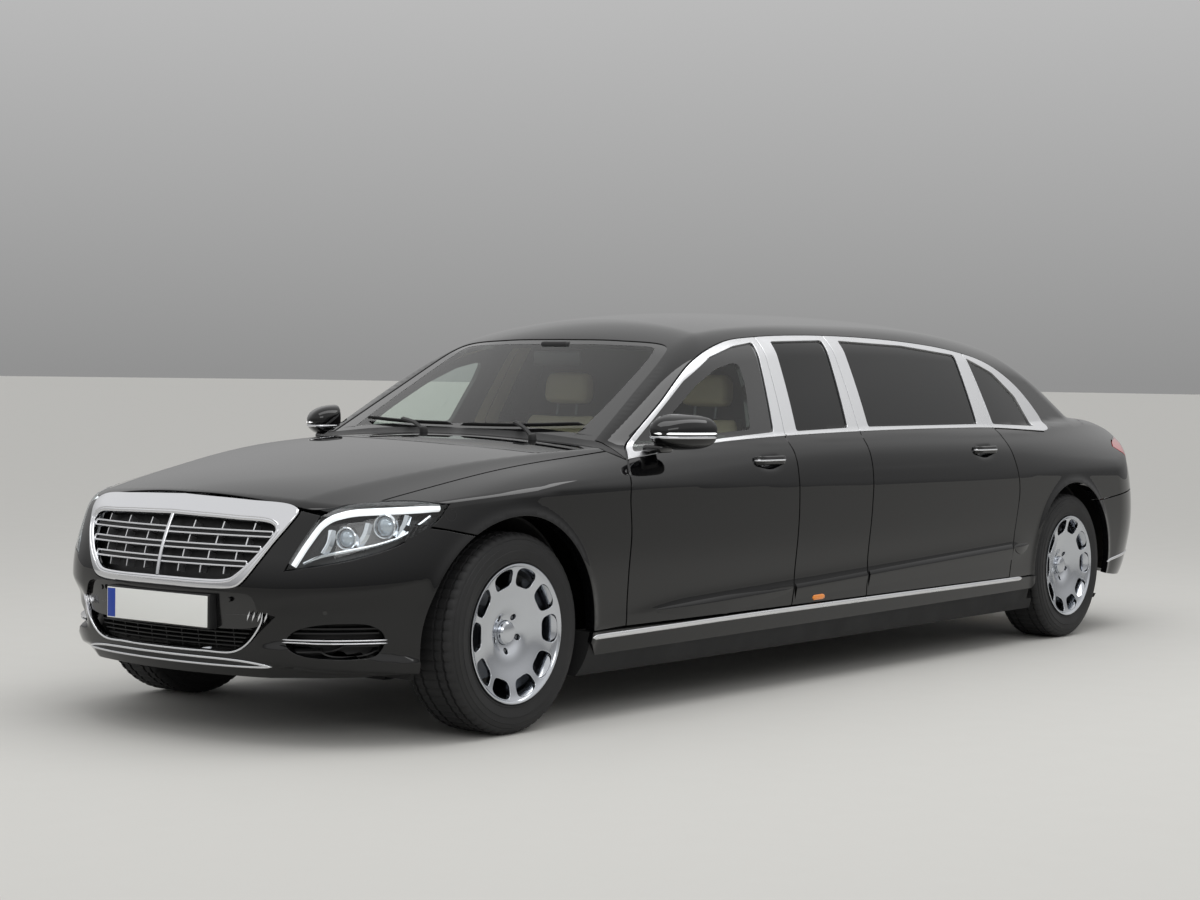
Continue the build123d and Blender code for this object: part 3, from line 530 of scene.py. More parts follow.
def farFrom(pts, loop, gap):
    best = np.full(len(pts), 1e9)
    for k in range(0, len(loop), 400):
        part = loop[k:k + 400]
        best = np.minimum(best, np.min(np.hypot(pts[:, 0][:, None] - part[:, 0],
                                                pts[:, 1][:, None] - part[:, 1]), 1))
    return best > gap


def meshObject(name, verts, faces, material, body, normals=None, mirrored=False):
    verts = np.array(verts, float) * mm
    if mirrored:
        verts = verts * (1, -1, 1)
        faces = [tuple(reversed(f)) for f in faces]
        if normals is not None:
            normals = np.array(normals) * (1, -1, 1)
    mesh = bpy.data.meshes.new(name)
    mesh.from_pydata(verts.tolist(), [], [tuple(int(i) for i in f) for f in faces])
    mesh.polygons.foreach_set("use_smooth", [True] * len(mesh.polygons))
    for m in (material if isinstance(material, list) else [material]):
        mesh.materials.append(m)
    mesh.update()
    if normals is not None:
        mesh.normals_split_custom_set_from_vertices(np.array(normals, float).tolist())
    obj = bpy.data.objects.new(name, mesh)
    bpy.context.scene.collection.objects.link(obj)
    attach(obj, body)
    return obj


def bothSides(name, body, verts, faces, material, mirrored, normals=None):
    # the piece as drawn and, where it is mirrored, its image on the car's right
    if not mirrored:
        return [meshObject(name, verts, faces, material, body, normals)]
    left, right = body if isinstance(body, tuple) else (body, body)
    return [meshObject(name + "_left", verts, faces, material, left, normals),
            meshObject(name + "_right", verts, faces, material, right, normals, True)]


def tidyNormals(obj, angle, weld=False):
    work = bmesh.new()
    work.from_mesh(obj.data)
    if weld:
        bmesh.ops.remove_doubles(work, verts=work.verts, dist=1e-6)
    bmesh.ops.recalc_face_normals(work, faces=work.faces)
    work.to_mesh(obj.data)
    work.free()
    obj.data.set_sharp_from_angle(angle=math.radians(angle))


def triangulate(loops, step):
    # even triangles inside the first loop and outside the others
    outer = loops[0]
    lo, hi = outer.min(0), outer.max(0)
    xs = np.arange(lo[0], hi[0] + step, step)
    ys = np.arange(lo[1], hi[1] + step * 0.87, step * 0.87)
    gx, gy = np.meshgrid(xs, ys)
    gx = gx + (np.arange(len(ys)) % 2)[:, None] * step / 2
    pts = np.stack([gx.ravel(), gy.ravel()], -1)
    pts = pts[insideLoop(pts, outer)]
    pts = pts[farFrom(pts, outer, step * 0.55)]
    for hole in loops[1:]:
        pts = pts[~insideLoop(pts, hole)]
        pts = pts[farFrom(pts, hole, step * 0.55)]
    allPts = np.vstack(loops + [pts])
    edges = []
    base = 0
    for loop in loops:
        n = len(loop)
        edges += [(base + i, base + (i + 1) % n) for i in range(n)]
        base += n
    result = delaunay_2d_cdt([Vector(p) for p in allPts], edges, [], 0, 1e-6)
    outPts = np.array([v[:] for v in result[0]])
    tris = np.array(result[2])
    mid = outPts[tris].mean(1)
    keep = insideLoop(mid, outer)
    for hole in loops[1:]:
        keep &= ~insideLoop(mid, hole)
    where = {}
    for new, olds in enumerate(result[3]):
        for old in olds:
            where[old] = new
    ordered = []
    base = 0
    for loop in loops:
        ordered.append([where[base + i] for i in range(len(loop))])
        base += len(loop)
    return outPts, tris[keep], ordered


def panel(name, body, reader, loop, holes=(), inner=None, step=16.0, material=None, innerMaterial=None,
          mirrored=True, lift=0.0, edge=2.0, gap=3.0, replacing=(), flush=()):
    # a body panel: outer skin with true normals, rounded edges, side walls and an inner skin;
    # along the lines in flush it meets its neighbour without a gap
    if area(loop) < 0:
        loop = loop[::-1]
    soft = np.ones(len(loop))
    for line in flush:
        soft[~farFrom(loop, loopOf(line, step=4.0), 6.0)] = 0.0
    loops = [shrink(loop, (soft * (gap + edge) - (1 - soft) * 2.0)[:, None])]
    loops += [shrink(h, -edge)[::-1] for h in holes]
    softs = [soft] + [np.ones(len(h)) for h in holes]
    uv, tris, rings = triangulate(loops, step)
    if callable(reader):
        p, n = reader(uv)
    else:
        p = onSkin(reader, uv)
        n = normalAt(p)
    p = p + n * lift
    turn = np.cross(p[tris[:, 1]] - p[tris[:, 0]], p[tris[:, 2]] - p[tris[:, 0]])
    if np.sum(turn * n[tris[:, 0]]) < 0:
        tris = tris[:, ::-1]
        rings = [r[::-1] for r in rings]
        softs = [v[::-1] for v in softs]
    verts = [p]
    norms = [n]
    faces = [tuple(t) for t in tris]
    slots = [0] * len(faces)
    count = len(p)
    innerP = inner(p, n) if inner else p - n * 20.0
    ringEnds = []
    for ring, soft in zip(rings, softs):
        ring = np.array(ring)
        bend = (edge * soft)[:, None]
        ahead = p[np.roll(ring, -1)] - p[np.roll(ring, 1)]
        side = unit(np.cross(ahead, n[ring]))
        start = count
        r1 = p[ring] + side * bend * 0.7 - n[ring] * bend * 0.3
        r2 = p[ring] + side * bend - n[ring] * bend
        r3 = innerP[ring] + side * bend
        n1 = np.where(soft[:, None] > 0, (side + n[ring]) * 0.7071, n[ring])
        n2 = unit(np.cross(ahead, r2 - r3))
        n2 = n2 * np.sign(np.sum(n2 * side, 1, keepdims=True) + 1e-9)
        verts += [r1, r2, r2, r3]
        norms += [n1, side, n2, n2]
        m = len(ring)
        rows = [ring] + [start + k * m + np.arange(m) for k in range(4)]
        for upper, lower in ((rows[0], rows[1]), (rows[1], rows[2]), (rows[3], rows[4])):
            for i in range(m):
                j = (i + 1) % m
                faces.append((upper[i], lower[i], lower[j], upper[j]))
                slots.append(0)
        ringEnds.append(rows[4])
        count += 4 * m
    if inner:
        start = count
        verts.append(innerP)
        norms.append(-n)
        faces += [(start + t[2], start + t[1], start + t[0]) for t in tris]
        slots += [1] * len(tris)
        for ring, end in zip(rings, ringEnds):
            m = len(ring)
            for i in range(m):
                j = (i + 1) % m
                faces.append((end[i], start + ring[i], start + ring[j], end[j]))
                slots.append(1)
    finishes = [material or paint, innerMaterial or lining]
    ends = ("_left", "_right") if mirrored else ("",)
    for obj, end in zip(bothSides(name, body, np.vstack(verts), faces, finishes, mirrored,
                                  np.vstack(norms)), ends):
        obj.data.polygons.foreach_set("material_index", slots)
        for node in replacing:
            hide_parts(node + (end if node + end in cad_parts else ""))


def readAs(reader, points):
    return readers[reader][1](np.asarray(points, float))


def mirrorY(points):
    return np.asarray(points, float) * (1, -1, 1)


def sweep(name, body, points, normals, section, material, closed=False, mirrored=True, taper=0.0):
    # a strip of one section laid along a line; section is a list of (across, out) in mm
    pts = np.asarray(points, float)
    nrm = np.asarray(normals, float)
    if closed:
        tangent = np.roll(pts, -1, 0) - np.roll(pts, 1, 0)
    else:
        tangent = np.gradient(pts, axis=0)
    side = unit(np.cross(nrm, unit(tangent)))
    n, m = len(pts), len(section)
    size = np.ones(n)
    if taper:
        run = np.concatenate([[0], np.cumsum(np.linalg.norm(np.diff(pts, axis=0), axis=1))])
        size = np.clip(np.minimum(run, run[-1] - run) / taper, 0.0, 1.0) ** 0.5 * 0.97 + 0.03
    verts = []
    for k in range(n):
        for across, out in section:
            verts.append(pts[k] + side[k] * across * size[k] + nrm[k] * out * size[k])
    faces = []
    for k in range(n if closed else n - 1):
        k2 = (k + 1) % n
        for q in range(m):
            q2 = (q + 1) % m
            faces.append((k * m + q, k2 * m + q, k2 * m + q2, k * m + q2))
    if not closed:
        faces.append(tuple(reversed(range(m))))
        faces.append(tuple((n - 1) * m + q for q in range(m)))
    for obj in bothSides(name, body, verts, faces, material, mirrored):
        tidyNormals(obj, 38.0)


def halfRound(width, height, sunk=4.0):
    # section of a strip that stands proud of the skin
    turns = [math.pi * k / 8 for k in range(9)]
    top = [(-width / 2 * math.cos(t), height * math.sin(t) ** 0.8) for t in turns]
    return top + [(width / 2, -sunk), (-width / 2, -sunk)]


def turnedFaces(count, m):
    # quads between the copies of an open profile of m points
    faces = []
    for k in range(count):
        k2 = (k + 1) % count
        faces += [(k * m + q, k * m + q + 1, k2 * m + q + 1, k2 * m + q) for q in range(m - 1)]
    return faces


def revolve(name, body, profile, centre, material, count, notch=None):
    # turns a profile of (radius, distance along the axle) about a line across the car;
    # notch is (every so many steps, from this radius, by this depth)
    verts = []
    for k in range(count):
        a = 2 * math.pi * k / count
        for r, y in profile:
            if notch and k % notch[0] == 0 and r > notch[1]:
                r = r - notch[2]
            verts.append((centre[0] + r * math.cos(a), y, centre[1] + r * math.sin(a)))
    for obj in bothSides(name, body, verts, turnedFaces(count, len(profile)), material, True):
        tidyNormals(obj, 30.0, weld=True)


def roundedBox(name, body, low, high, radius, material, segments=3, matrix=None):
    work = bmesh.new()
    bmesh.ops.create_cube(work, size=1.0)
    lo, hi = np.array(low, float) * mm, np.array(high, float) * mm
    for v in work.verts:
        v.co = Vector(((lo + hi) / 2 + np.array(v.co) * (hi - lo)).tolist())
    bmesh.ops.bevel(work, geom=list(work.edges), offset=radius * mm, segments=segments, profile=0.5,
                    affect="EDGES")
    mesh = bpy.data.meshes.new(name)
    work.to_mesh(mesh)
    work.free()
    if matrix is not None:
        mesh.transform(matrix)
    mesh.polygons.foreach_set("use_smooth", [True] * len(mesh.polygons))
    mesh.set_sharp_from_angle(angle=math.radians(40))
    mesh.materials.append(material)
    obj = bpy.data.objects.new(name, mesh)
    bpy.context.scene.collection.objects.link(obj)
    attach(obj, body)
    return obj


def inward(depth, upper):
    # inner skin of a door: pushed towards the middle of the car, less above the belt,
    # and leaning forward as the door edges do
    shear = 0.27

    def move(p, n):
        high = ramp(p[:, 2], 1040, 1090)
        t = depth * (1 - high) + upper * high
        q = p.copy()
        q[:, 1] += t
        q[:, 0] -= t * shear
        return q
    return move


def downward(depth):
    def move(p, n):
        return p - n * depth
    return move


# side view lines shared by the panels: x and z on the skin
doorBase, sillTop = 345.0, 339.0
frontDoors = ("door_front_left", "door_front_right")
rearDoors = ("door_rear_left", "door_rear_right")
frontDoorFront = smoothPath([(-1738, doorBase), (-1731, 560), (-1717, 700), (-1724, 850), (-1702, 930),
                             (-1653, 973)])
frontDoorRear = smoothPath([(-449, 1472), (-524, 1063), (-541, 1036), (-545, 912), (-547, 719), (-570, 519),
                            (-592, doorBase)], sharp=(1,))
windowTop = smoothPath([(-1653, 973), (-1480, 1078), (-1303, 1181), (-1005, 1352), (-702, 1444),
                        (-449, 1472), (100, 1490), (749, 1478), (1229, 1443), (1554, 1386), (1809, 1276),
                        (1950, 1162), (1996, 1100), (1975, 1062), (1901, 1048)])
beltLine = smoothPath([(-1653, 973), (-1100, 1024), (-655, 1047), (156, 1066), (900, 1071), (1337, 1069),
                       (1901, 1048)])
rearDoorFront = smoothPath([(13, doorBase), (16, 520), (45, 714), (60, 899), (55, 1043), (73, 1070),
                            (100, 1490)], sharp=(5,))
rearDoorRear = smoothPath([(1327, 1428), (1349, 1076), (1432, 857), (1446, 764), (1391, 525),
                           (1366, doorBase)], sharp=(1,))


def part(path, x0, x1):
    # stretch of a line between two places along the car
    xs = path[:, 0]
    k = np.where((xs > x0) & (xs < x1))[0]
    k = np.arange(k.min(), k.max() + 1)
    ends = []
    for x, i in ((x0, max(k.min() - 1, 0)), (x1, k.max())):
        a, b = path[i], path[min(i + 1, len(path) - 1)]
        t = (x - a[0]) / (b[0] - a[0]) if abs(b[0] - a[0]) > 1e-6 else 0
        ends.append(a + (b - a) * np.clip(t, 0, 1))
    return np.vstack([ends[0], path[k], ends[1]])


def archLine(axle, a0, a1):
    # stretch of a wheel arch in side view, angles in degrees from the rear, upwards
    turns = [math.radians(a) for a in np.linspace(a0, a1, 60)]
    return np.array([(axle + archRadius * math.cos(t), wheelRadius + archRadius * math.sin(t))
                     for t in turns])


windows = {
    "front": [(-1566, 1002), (-1303, 1159), (-1101, 1278), (-859, 1379), (-657, 1427), (-499, 1447),
              (-600, 1070), (-971, 1048)],
    "middle": [(-430, 1072), (-364, 1453), (56, 1467), (-14, 1083)],
    "rear": [(160, 1086), (192, 1468), (747, 1456), (1225, 1420), (1196, 1090)],
    "quarter": [(1364, 1089), (1338, 1408), (1571, 1338), (1745, 1222), (1830, 1074)],
}
windowLoops = {}
for name, pts in windows.items():
    loop = loopOf(pts + [pts[0]], step=7.0)
    windowLoops[name] = roundCorners(loop, 4)
hoodFront = [(-3106, 0), (-3091, 290), (-3070, 470), (-3047, 560), (-2994, 616), (-2945, 637), (-2850, 692)]
hoodSide = [(-2850, 692), (-2500, 735), (-1900, 790), (-1700, 800)]
hoodRear = [(-1700, 800), (-1715, 600), (-1745, 300), (-1755, 0)]
hoodHalf = [smoothPath(c) for c in (hoodFront, hoodSide, hoodRear)]
lampLoop = smoothPath([(-1849, 615), (-1793, 708), (-1725, 803), (-1640, 836), (-1525, 848), (-1400, 850),
                       (-1285, 838), (-1330, 780), (-1457, 706), (-1600, 660), (-1697, 640)], step=8.0,
                      closed=True, sharp=(0, 2, 6))
grilleHalf = smoothPath([(0, 858), (300, 848), (490, 834), (524, 812), (470, 690), (385, 566), (350, 545),
                         (0, 538)], sharp=(0, 7))
grilleInner = smoothPath([(0, 786), (300, 778), (446, 768), (468, 750), (420, 660), (345, 588), (318, 577),
                          (0, 572)], sharp=(0, 7))
lidHalf = [smoothPath(c) for c in ([(2670, 0), (2664, 300), (2634, 560), (2640, 606)],
                                   [(2640, 606), (2960, 574), (3010, 570), (3120, 570)])]


def fullFrom(half):
    # closed loop from the line on one side of the middle
    half = np.asarray(half, float)
    other = half[::-1] * (1, -1) if half[0][1] == 0 else half[::-1] * (-1, 1)
    return loopOf(half, other)


print("stage: lines")
doorDepth = inward(92.0, 44.0)
frontDoorLoop = loopOf(frontDoorFront, part(windowTop, -1653, -449), frontDoorRear,
                       [(-592, doorBase), (-1738, doorBase)])
rearDoorLoop = loopOf(rearDoorFront, part(windowTop, 100, 1327), rearDoorRear,
                      [(1366, doorBase), (13, doorBase)])
middleLoop = loopOf(frontDoorRear[::-1], part(windowTop, -449, 100), rearDoorFront[::-1],
                    [(13, doorBase), (-592, doorBase)])
panel("frontDoor", frontDoors, "side", frontDoorLoop, [windowLoops["front"]], doorDepth,
      replacing=["door_front"])
panel("rearDoor", rearDoors, "side", rearDoorLoop, [windowLoops["rear"]], doorDepth,
      replacing=["door_rear"])
panel("middlePanel", "chassis", "side", middleLoop, [windowLoops["middle"]], doorDepth,
      replacing=["middle_panels"])
print("stage: doors")

# front fender between bonnet, door, lamp and wheel arch
hoodLine = onSkin("top", hoodHalf[1] * (1, -1))
fenderRear = onSkin("side", frontDoorFront[::-1])
fenderArch = onSkin("side", archLine(frontAxle, -3.5, 121.0))
jointLine = onSkin("side", [(-2582, 727), (-2700, 752), (-2812, 769)])
lampEdge = onSkin("corner", lampLoop)
lowK = np.where((lampLoop[:, 1] < 800) & (lampLoop[:, 0] > -1440))[0]
tip = int(np.argmax(lampLoop[:, 0]))
topK = [k for k in range(len(lampLoop)) if lampLoop[k, 0] > -1640 and k <= tip and lampLoop[k, 1] > 800]
fenderLoop = loopOf(*[readAs("flank", c) for c in (
    fenderRear, fenderArch, jointLine, lampEdge[tip:lowK.max() + 1][::-1], lampEdge[topK][::-1], hoodLine)])
panel("frontFender", "chassis", "flank", fenderLoop, (), downward(40.0), replacing=["front_fenders"],
      innerMaterial=plastic)
print("stage: fender")

# bonnet with the panel gap all round
hoodLoop = fullFrom(np.vstack(hoodHalf))
panel("bonnet", "bonnet", "top", hoodLoop, (), downward(38.0), mirrored=False, replacing=["bonnet"],
      innerMaterial=plastic)
print("stage: bonnet")

# roof, windscreen pillars and rear pillars in one skin; the rear screen is a hole in it
screenHalf = smoothPath([(0, 1080), (400, 1070), (690, 1046), (640, 1215), (575, 1400), (540, 1425),
                         (300, 1446), (0, 1450)], sharp=(2,))
screenFoot = int(np.argmax(screenHalf[:, 0]))
rearHalf = smoothPath([(0, 1152), (400, 1146), (590, 1134), (608, 1150), (560, 1290), (525, 1390),
                       (490, 1410), (300, 1420), (0, 1424)])
screenEdge = onSkin("front", screenHalf[screenFoot:][::-1] * (-1, 1))
railLine = onSkin("side", part(windowTop, -1653, 1996))
quarterSeam = onSkin("side", smoothPath([(1996, 1100), (2030, 1074), (2200, 1062), (2420, 1064),
                                         (2560, 1075)]))
lidFront = onSkin("top", lidHalf[0] * (1, -1))
lidSide = onSkin("top", lidHalf[1] * (1, -1))
seamEnd = np.vstack([quarterSeam[-1:], lidFront[-1:]])
roofHalfLine = np.vstack([screenEdge, railLine, quarterSeam, lidFront[::-1]])
roofLoop = loopOf(readAs("green", np.vstack([roofHalfLine, mirrorY(roofHalfLine)[::-1]])))
rearScreenLoop = readAs("green", onSkin("back", fullFrom(rearHalf)))
roofFlush = [readAs("green", c) for c in (quarterSeam, seamEnd, mirrorY(quarterSeam), mirrorY(seamEnd))]
panel("roof", "chassis", "green", roofLoop, [rearScreenLoop], downward(38.0), mirrored=False,
      replacing=["body_frame"], step=20.0, gap=2.0, flush=roofFlush)
print("stage: roof")

# scuttle of dark plastic between bonnet and windscreen
cowlFront = onSkin("top", hoodHalf[2] * (1, -1))
cowlBack = onSkin("front", screenHalf[:screenFoot + 1] * (-1, 1))
cowlHalf = np.vstack([cowlFront[::-1], railLine[:1], cowlBack[::-1]])
cowlLoop = loopOf(readAs("top", np.vstack([cowlHalf, mirrorY(cowlHalf)[::-1]])))
panel("scuttle", "chassis", "top", cowlLoop, (), downward(30.0), mirrored=False, material=plastic,
      innerMaterial=plastic, gap=2.0)

# rear quarter between door, sill, arch, bumper, tail lamp and boot lid
tailLow = smoothPath([(3150, 772), (3040, 812), (2900, 862), (2740, 930), (2680, 962)])
tailTop = smoothPath([(2680, 962), (2750, 988), (2880, 1004), (3000, 1008), (3066, 1006)])
tailLampSide = np.vstack([tailLow, tailTop[1:]])
rearJoint = smoothPath([(2322, 690), (2440, 697), (2700, 722), (3000, 752), (3150, 770)])
quarterParts = [
    onSkin("side", rearDoorRear[rearDoorRear[:, 1] < 1077]),
    onSkin("side", [(1366, sillTop), (1500, sillTop), (1632, sillTop)]),
    onSkin("side", archLine(rearAxle, 183.5, 50.4)),
    onSkin("side", rearJoint), onSkin("side", tailLampSide), lidSide[::-1], seamEnd[::-1],
    quarterSeam[::-1], onSkin("side", beltLine[beltLine[:, 0] > 1345][::-1]),
]
quarterLoop = loopOf(*[readAs("flank", c) for c in quarterParts])
panel("rearQuarter", "chassis", "flank", quarterLoop, (), downward(40.0), replacing=["rear_quarters"],
      flush=[readAs("flank", c) for c in (quarterSeam, seamEnd)])
print("stage: quarter")

# boot lid
lidEdge3 = np.vstack([lidFront, lidSide, onSkin("back", [(-570, 960), (-570, 880), (-570, 776)]),
                      onSkin("back", [(-400, 775), (-200, 775), (0, 775)])])
lidLoop = loopOf(readAs("lid", np.vstack([lidEdge3, mirrorY(lidEdge3)[::-1]])))
panel("bootLid", "boot_lid", "lid", lidLoop, (), downward(38.0), mirrored=False, replacing=["boot_lid"],
      innerMaterial=plastic)
print("stage: boot lid")


def endLoop(reader, half, under):
    # loop of a bumper skin from its left half: along the upper line and back along the lower one
    return loopOf(readAs(reader, np.vstack([half, mirrorY(half)[::-1], mirrorY(under), under[::-1]])))


# bumpers
lampLow = lampEdge[lowK.max():]
lampInner = lampEdge[:int(np.argmin(np.abs(lampLoop[:, 0] + 1725) + np.abs(lampLoop[:, 1] - 803))) + 1]
grilleSide = onSkin("front", grilleHalf[grilleHalf[:, 1] < 822] * (-1, 1))
bumperUnder = np.vstack([onSkin("side", [(-2772, 246), (-2900, 240)]),
                         onSkin("front", [(-700, 236), (-400, 230), (0, 228)])])
frontHalf = np.vstack([onSkin("side", archLine(frontAxle, 196.0, 121.0)), jointLine, lampLow, lampInner,
                       grilleSide])
frontLoop = endLoop("nose", frontHalf, bumperUnder)
intake = smoothPath([(0, 528), (340, 530), (420, 518), (444, 470), (494, 452), (452, 404), (400, 352),
                     (335, 322), (0, 318)], sharp=(0, 3, 4, 8))
sideIntake = smoothPath([(-1846, 366), (-1822, 398), (-1762, 420), (-1652, 430), (-1556, 424), (-1512, 396),
                         (-1506, 366), (-1528, 326), (-1600, 310), (-1705, 310), (-1790, 320),
                         (-1832, 340)], closed=True)
intakeLine = onSkin("front", fullFrom(intake))
sideIntakeLine = onSkin("corner", sideIntake)
panel("frontBumper", "chassis", "nose", frontLoop,
      [readAs("nose", c) for c in (intakeLine, sideIntakeLine, mirrorY(sideIntakeLine)[::-1])],
      downward(30.0), mirrored=False, replacing=["front_bumper"], innerMaterial=plastic, step=10.0)
tailUnder = np.vstack([onSkin("side", [(2462, 300), (2600, 285)]),
                       onSkin("back", [(-700, 262), (-350, 250), (0, 248)])])
rearHalfLine = np.vstack([onSkin("side", archLine(rearAxle, -8.0, 50.4)), onSkin("side", rearJoint),
                          onSkin("back", [(-560, 772), (-300, 771), (0, 771)])])
rearLoop = endLoop("tail", rearHalfLine, tailUnder)
panel("rearBumper", "chassis", "tail", rearLoop, (), downward(30.0), mirrored=False,
      replacing=["rear_bumper"], innerMaterial=plastic)
print("stage: bumpers")

# bright window surround, one frame for each pane, and the panes themselves
gapB = np.array([(-449, 1472), (-524, 1063)], float)
gapC = np.array([(73, 1070), (100, 1490)], float)
gapD = np.array([(1327, 1428), (1349, 1076)], float)
quarterTip = windowTop[windowTop[:, 0] > 1327]
sideFrames = {
    "front": dict(body=frontDoors, glass=clearGlass, node="glass_front", slot="clear_glass",
                  loop=loopOf(part(windowTop, -1653, -449), gapB, part(beltLine, -1653, -526)[::-1])),
    "middle": dict(body="chassis", glass=darkGlass, node="fixed_side_glass", slot="dark_glass",
                   loop=loopOf(gapB[::-1], part(windowTop, -449, 100), gapC[::-1],
                               part(beltLine, -522, 71)[::-1])),
    "rear": dict(body=rearDoors, glass=darkGlass, node="glass_rear", slot="dark_glass",
                 loop=loopOf(gapC, part(windowTop, 100, 1327), gapD, part(beltLine, 75, 1349)[::-1])),
    "quarter": dict(body="chassis", glass=darkGlass, node="fixed_side_glass", slot="dark_glass",
                    loop=loopOf(gapD[::-1], quarterTip, part(beltLine, 1351, 1900)[::-1])),
}
for name, f in sideFrames.items():
    panel(name + "Surround", f["body"], "side", f["loop"], [windowLoops[name]], None, step=14.0,
          material=satin, lift=2.6, edge=1.6, gap=1.4)
    panel(name + "Pane", f["body"], "side", windowLoops[name], (), downward(5.0), step=20.0,
          material=f["glass"], innerMaterial=clearInner if name == "front" else f["glass"], lift=-6.0,
          edge=1.0, gap=-6.0, replacing=[f["node"]])
# thick black edge of the front panes
clearPoints = [(-1330, 1075), (-1290, 1112), (-1215, 1158), (-1025, 1262), (-853, 1332), (-720, 1360),
               (-676, 1352), (-684, 1274), (-752, 1084), (-965, 1072), (-1330, 1075)]
clearLoop = roundCorners(loopOf(clearPoints, step=7.0), 6)
panel("frontPaneBand", sideFrames["front"]["body"], "side", windowLoops["front"], [clearLoop], None,
      step=16.0, material=ceramic, lift=-5.4, edge=0.4, gap=-6.0)
screenLoop = readAs("green", onSkin("front", fullFrom(screenHalf)))
screenInner = shrink(screenLoop, 34.0)
panel("windscreen", "chassis", "green", screenLoop, (), downward(5.5), step=24.0, material=clearGlass,
      innerMaterial=clearInner, mirrored=False, lift=-4.0, edge=1.0, gap=-5.0,
      replacing=["windscreen"])
panel("windscreenBand", "chassis", "green", screenLoop, [screenInner], None, step=16.0, material=ceramic,
      mirrored=False, lift=-3.4, edge=0.4, gap=-5.0)
panel("rearScreen", "chassis", "green", rearScreenLoop, (), downward(5.0), step=24.0, material=darkGlass,
      innerMaterial=darkGlass, mirrored=False, lift=-4.0, edge=1.0, gap=-5.0,
      replacing=["rear_window"])
print("stage: windows")


def sideStrip(name, path, width, height, material, taper, lift=0.0):
    # rounded strip lying on the car's side along a flat path
    p = onSkin("side", path)
    n = normalAt(p)
    sweep(name, "chassis", p + n * lift, n, halfRound(width, height), material, taper=taper)


# sills with the long bright strip, and the amber side lamp
sill = dict(front=-1948, rear=1636, foot=262, strip=[(-1950, 319), (-1000, 329), (-40, 333), (1500, 335)])
sillLoop = loopOf([(sill["front"], sillTop), (sill["rear"], sillTop), (sill["rear"] + 4, 300),
                   (sill["rear"] - 20, sill["foot"] + 14), (0, sill["foot"]),
                   (sill["front"] + 40, sill["foot"] - 14), (sill["front"] - 6, 300),
                   (sill["front"], sillTop)])
panel("sill", "chassis", "side", sillLoop, (), None, step=20.0, lift=2.5, gap=1.0)
sideStrip("sillStrip", smoothPath(sill["strip"], 20.0), 20.0, 5.0, satin, 30.0, lift=4.0)
sideStrip("sideMarker", smoothPath([(-435, 368), (-335, 369)], 10.0), 24.0, 7.0, amber, 14.0)

# rising crease low on the doors, in the paint of each panel
crease = dict(line=Curve((-1740, -1397, -533, 295, 1571), (392, 400, 420, 453, 499)),
              section=[(16, -1.0), (0, 7.0), (-10, 6.0), (-60, -1.0)],
              runs=(("front", frontDoors, -1560, -598, 500.0),
                    ("middle", "chassis", -570, 3, 0.0),
                    ("rear", rearDoors, 24, 1366, 0.0),
                    ("quarter", "chassis", 1392, 1560, 150.0)))
for name, bodies, x0, x1, taper in crease["runs"]:
    xs = np.arange(x0, x1 + 1, (x1 - x0) / max(round((x1 - x0) / 24.0), 1))
    p = onSkin("side", np.stack([xs, crease["line"](xs)], -1))
    sweep(name + "Crease", bodies, p, normalAt(p), crease["section"], paint, taper=taper)

# door handles: a bow over a dished cup
handles = {"front": dict(x=-749, z=958, bodies=frontDoors),
           "rear": dict(x=1120, z=971, bodies=rearDoors)}
handleParts = (("HandleTop", [(-3, -6), (-3, 6), (-8, 5), (-15, 3), (-18, -2), (-14, -6)], paint, "paint"),
               ("HandleLine", [(-3, -6), (-3, 6), (0, 7.5), (3, 6), (3, -6)], chrome, "chrome"),
               ("HandleBase", [(3, -6), (14, -6), (18, -2), (15, 3), (8, 5), (3, 6)], paint, "paint"))
for name, h in handles.items():
    t = np.linspace(-1, 1, 25)
    base = onSkin("side", np.stack([h["x"] + t * 112, np.full(25, h["z"])], -1))
    out = 30.0 * (1 - np.abs(t) ** 5) - 14 * np.abs(t) ** 8
    path = base + np.array((0, -1.0, 0)) * out[:, None]
    outward = np.tile((0.0, -1.0, 0.0), (25, 1))
    for partName, section, finish, slot in handleParts:
        sweep(name + partName, h["bodies"], path, outward, section, finish, taper=10.0)
print("stage: sill and handles")

# wheels: polished dish with ten openings in five pairs, five bolt holes and a plain cap
wheel = dict(dish=[(0, -866), (62, -866), (80, -874), (120, -884), (160, -894), (205, -905), (232, -912),
                   (244, -917)],
             openIn=170.0, openOut=237.0, openHalf=14.2, pairHalf=17.0, boltRing=66.0, boltHole=11.0,
             capR=44.0)
dishCurve = Curve([r for r, y in wheel["dish"]], [y for r, y in wheel["dish"]])


def dishSkin(axle):
    def read(uv):
        r = np.hypot(uv[:, 0], uv[:, 1])
        y = dishCurve(r)
        slope = (dishCurve(r + 1) - dishCurve(r - 1)) / 2
        a = uv / np.maximum(r, 1e-6)[:, None]
        n = np.stack([slope * a[:, 0], -np.ones(len(r)), slope * a[:, 1]], -1)
        n = unit(n)
        return np.stack([axle + uv[:, 0], y, wheelRadius + uv[:, 1]], -1), n
    return read


def dishBack(p, n):
    # inner face of the dish, straight behind the outer one
    return p + np.array((0, 16.0, 0))


def ringLoop(radius, count, cx=0.0, cz=0.0):
    a = np.linspace(0, 2 * math.pi, count, endpoint=False)
    return np.stack([cx + radius * np.cos(a), cz + radius * np.sin(a)], -1)


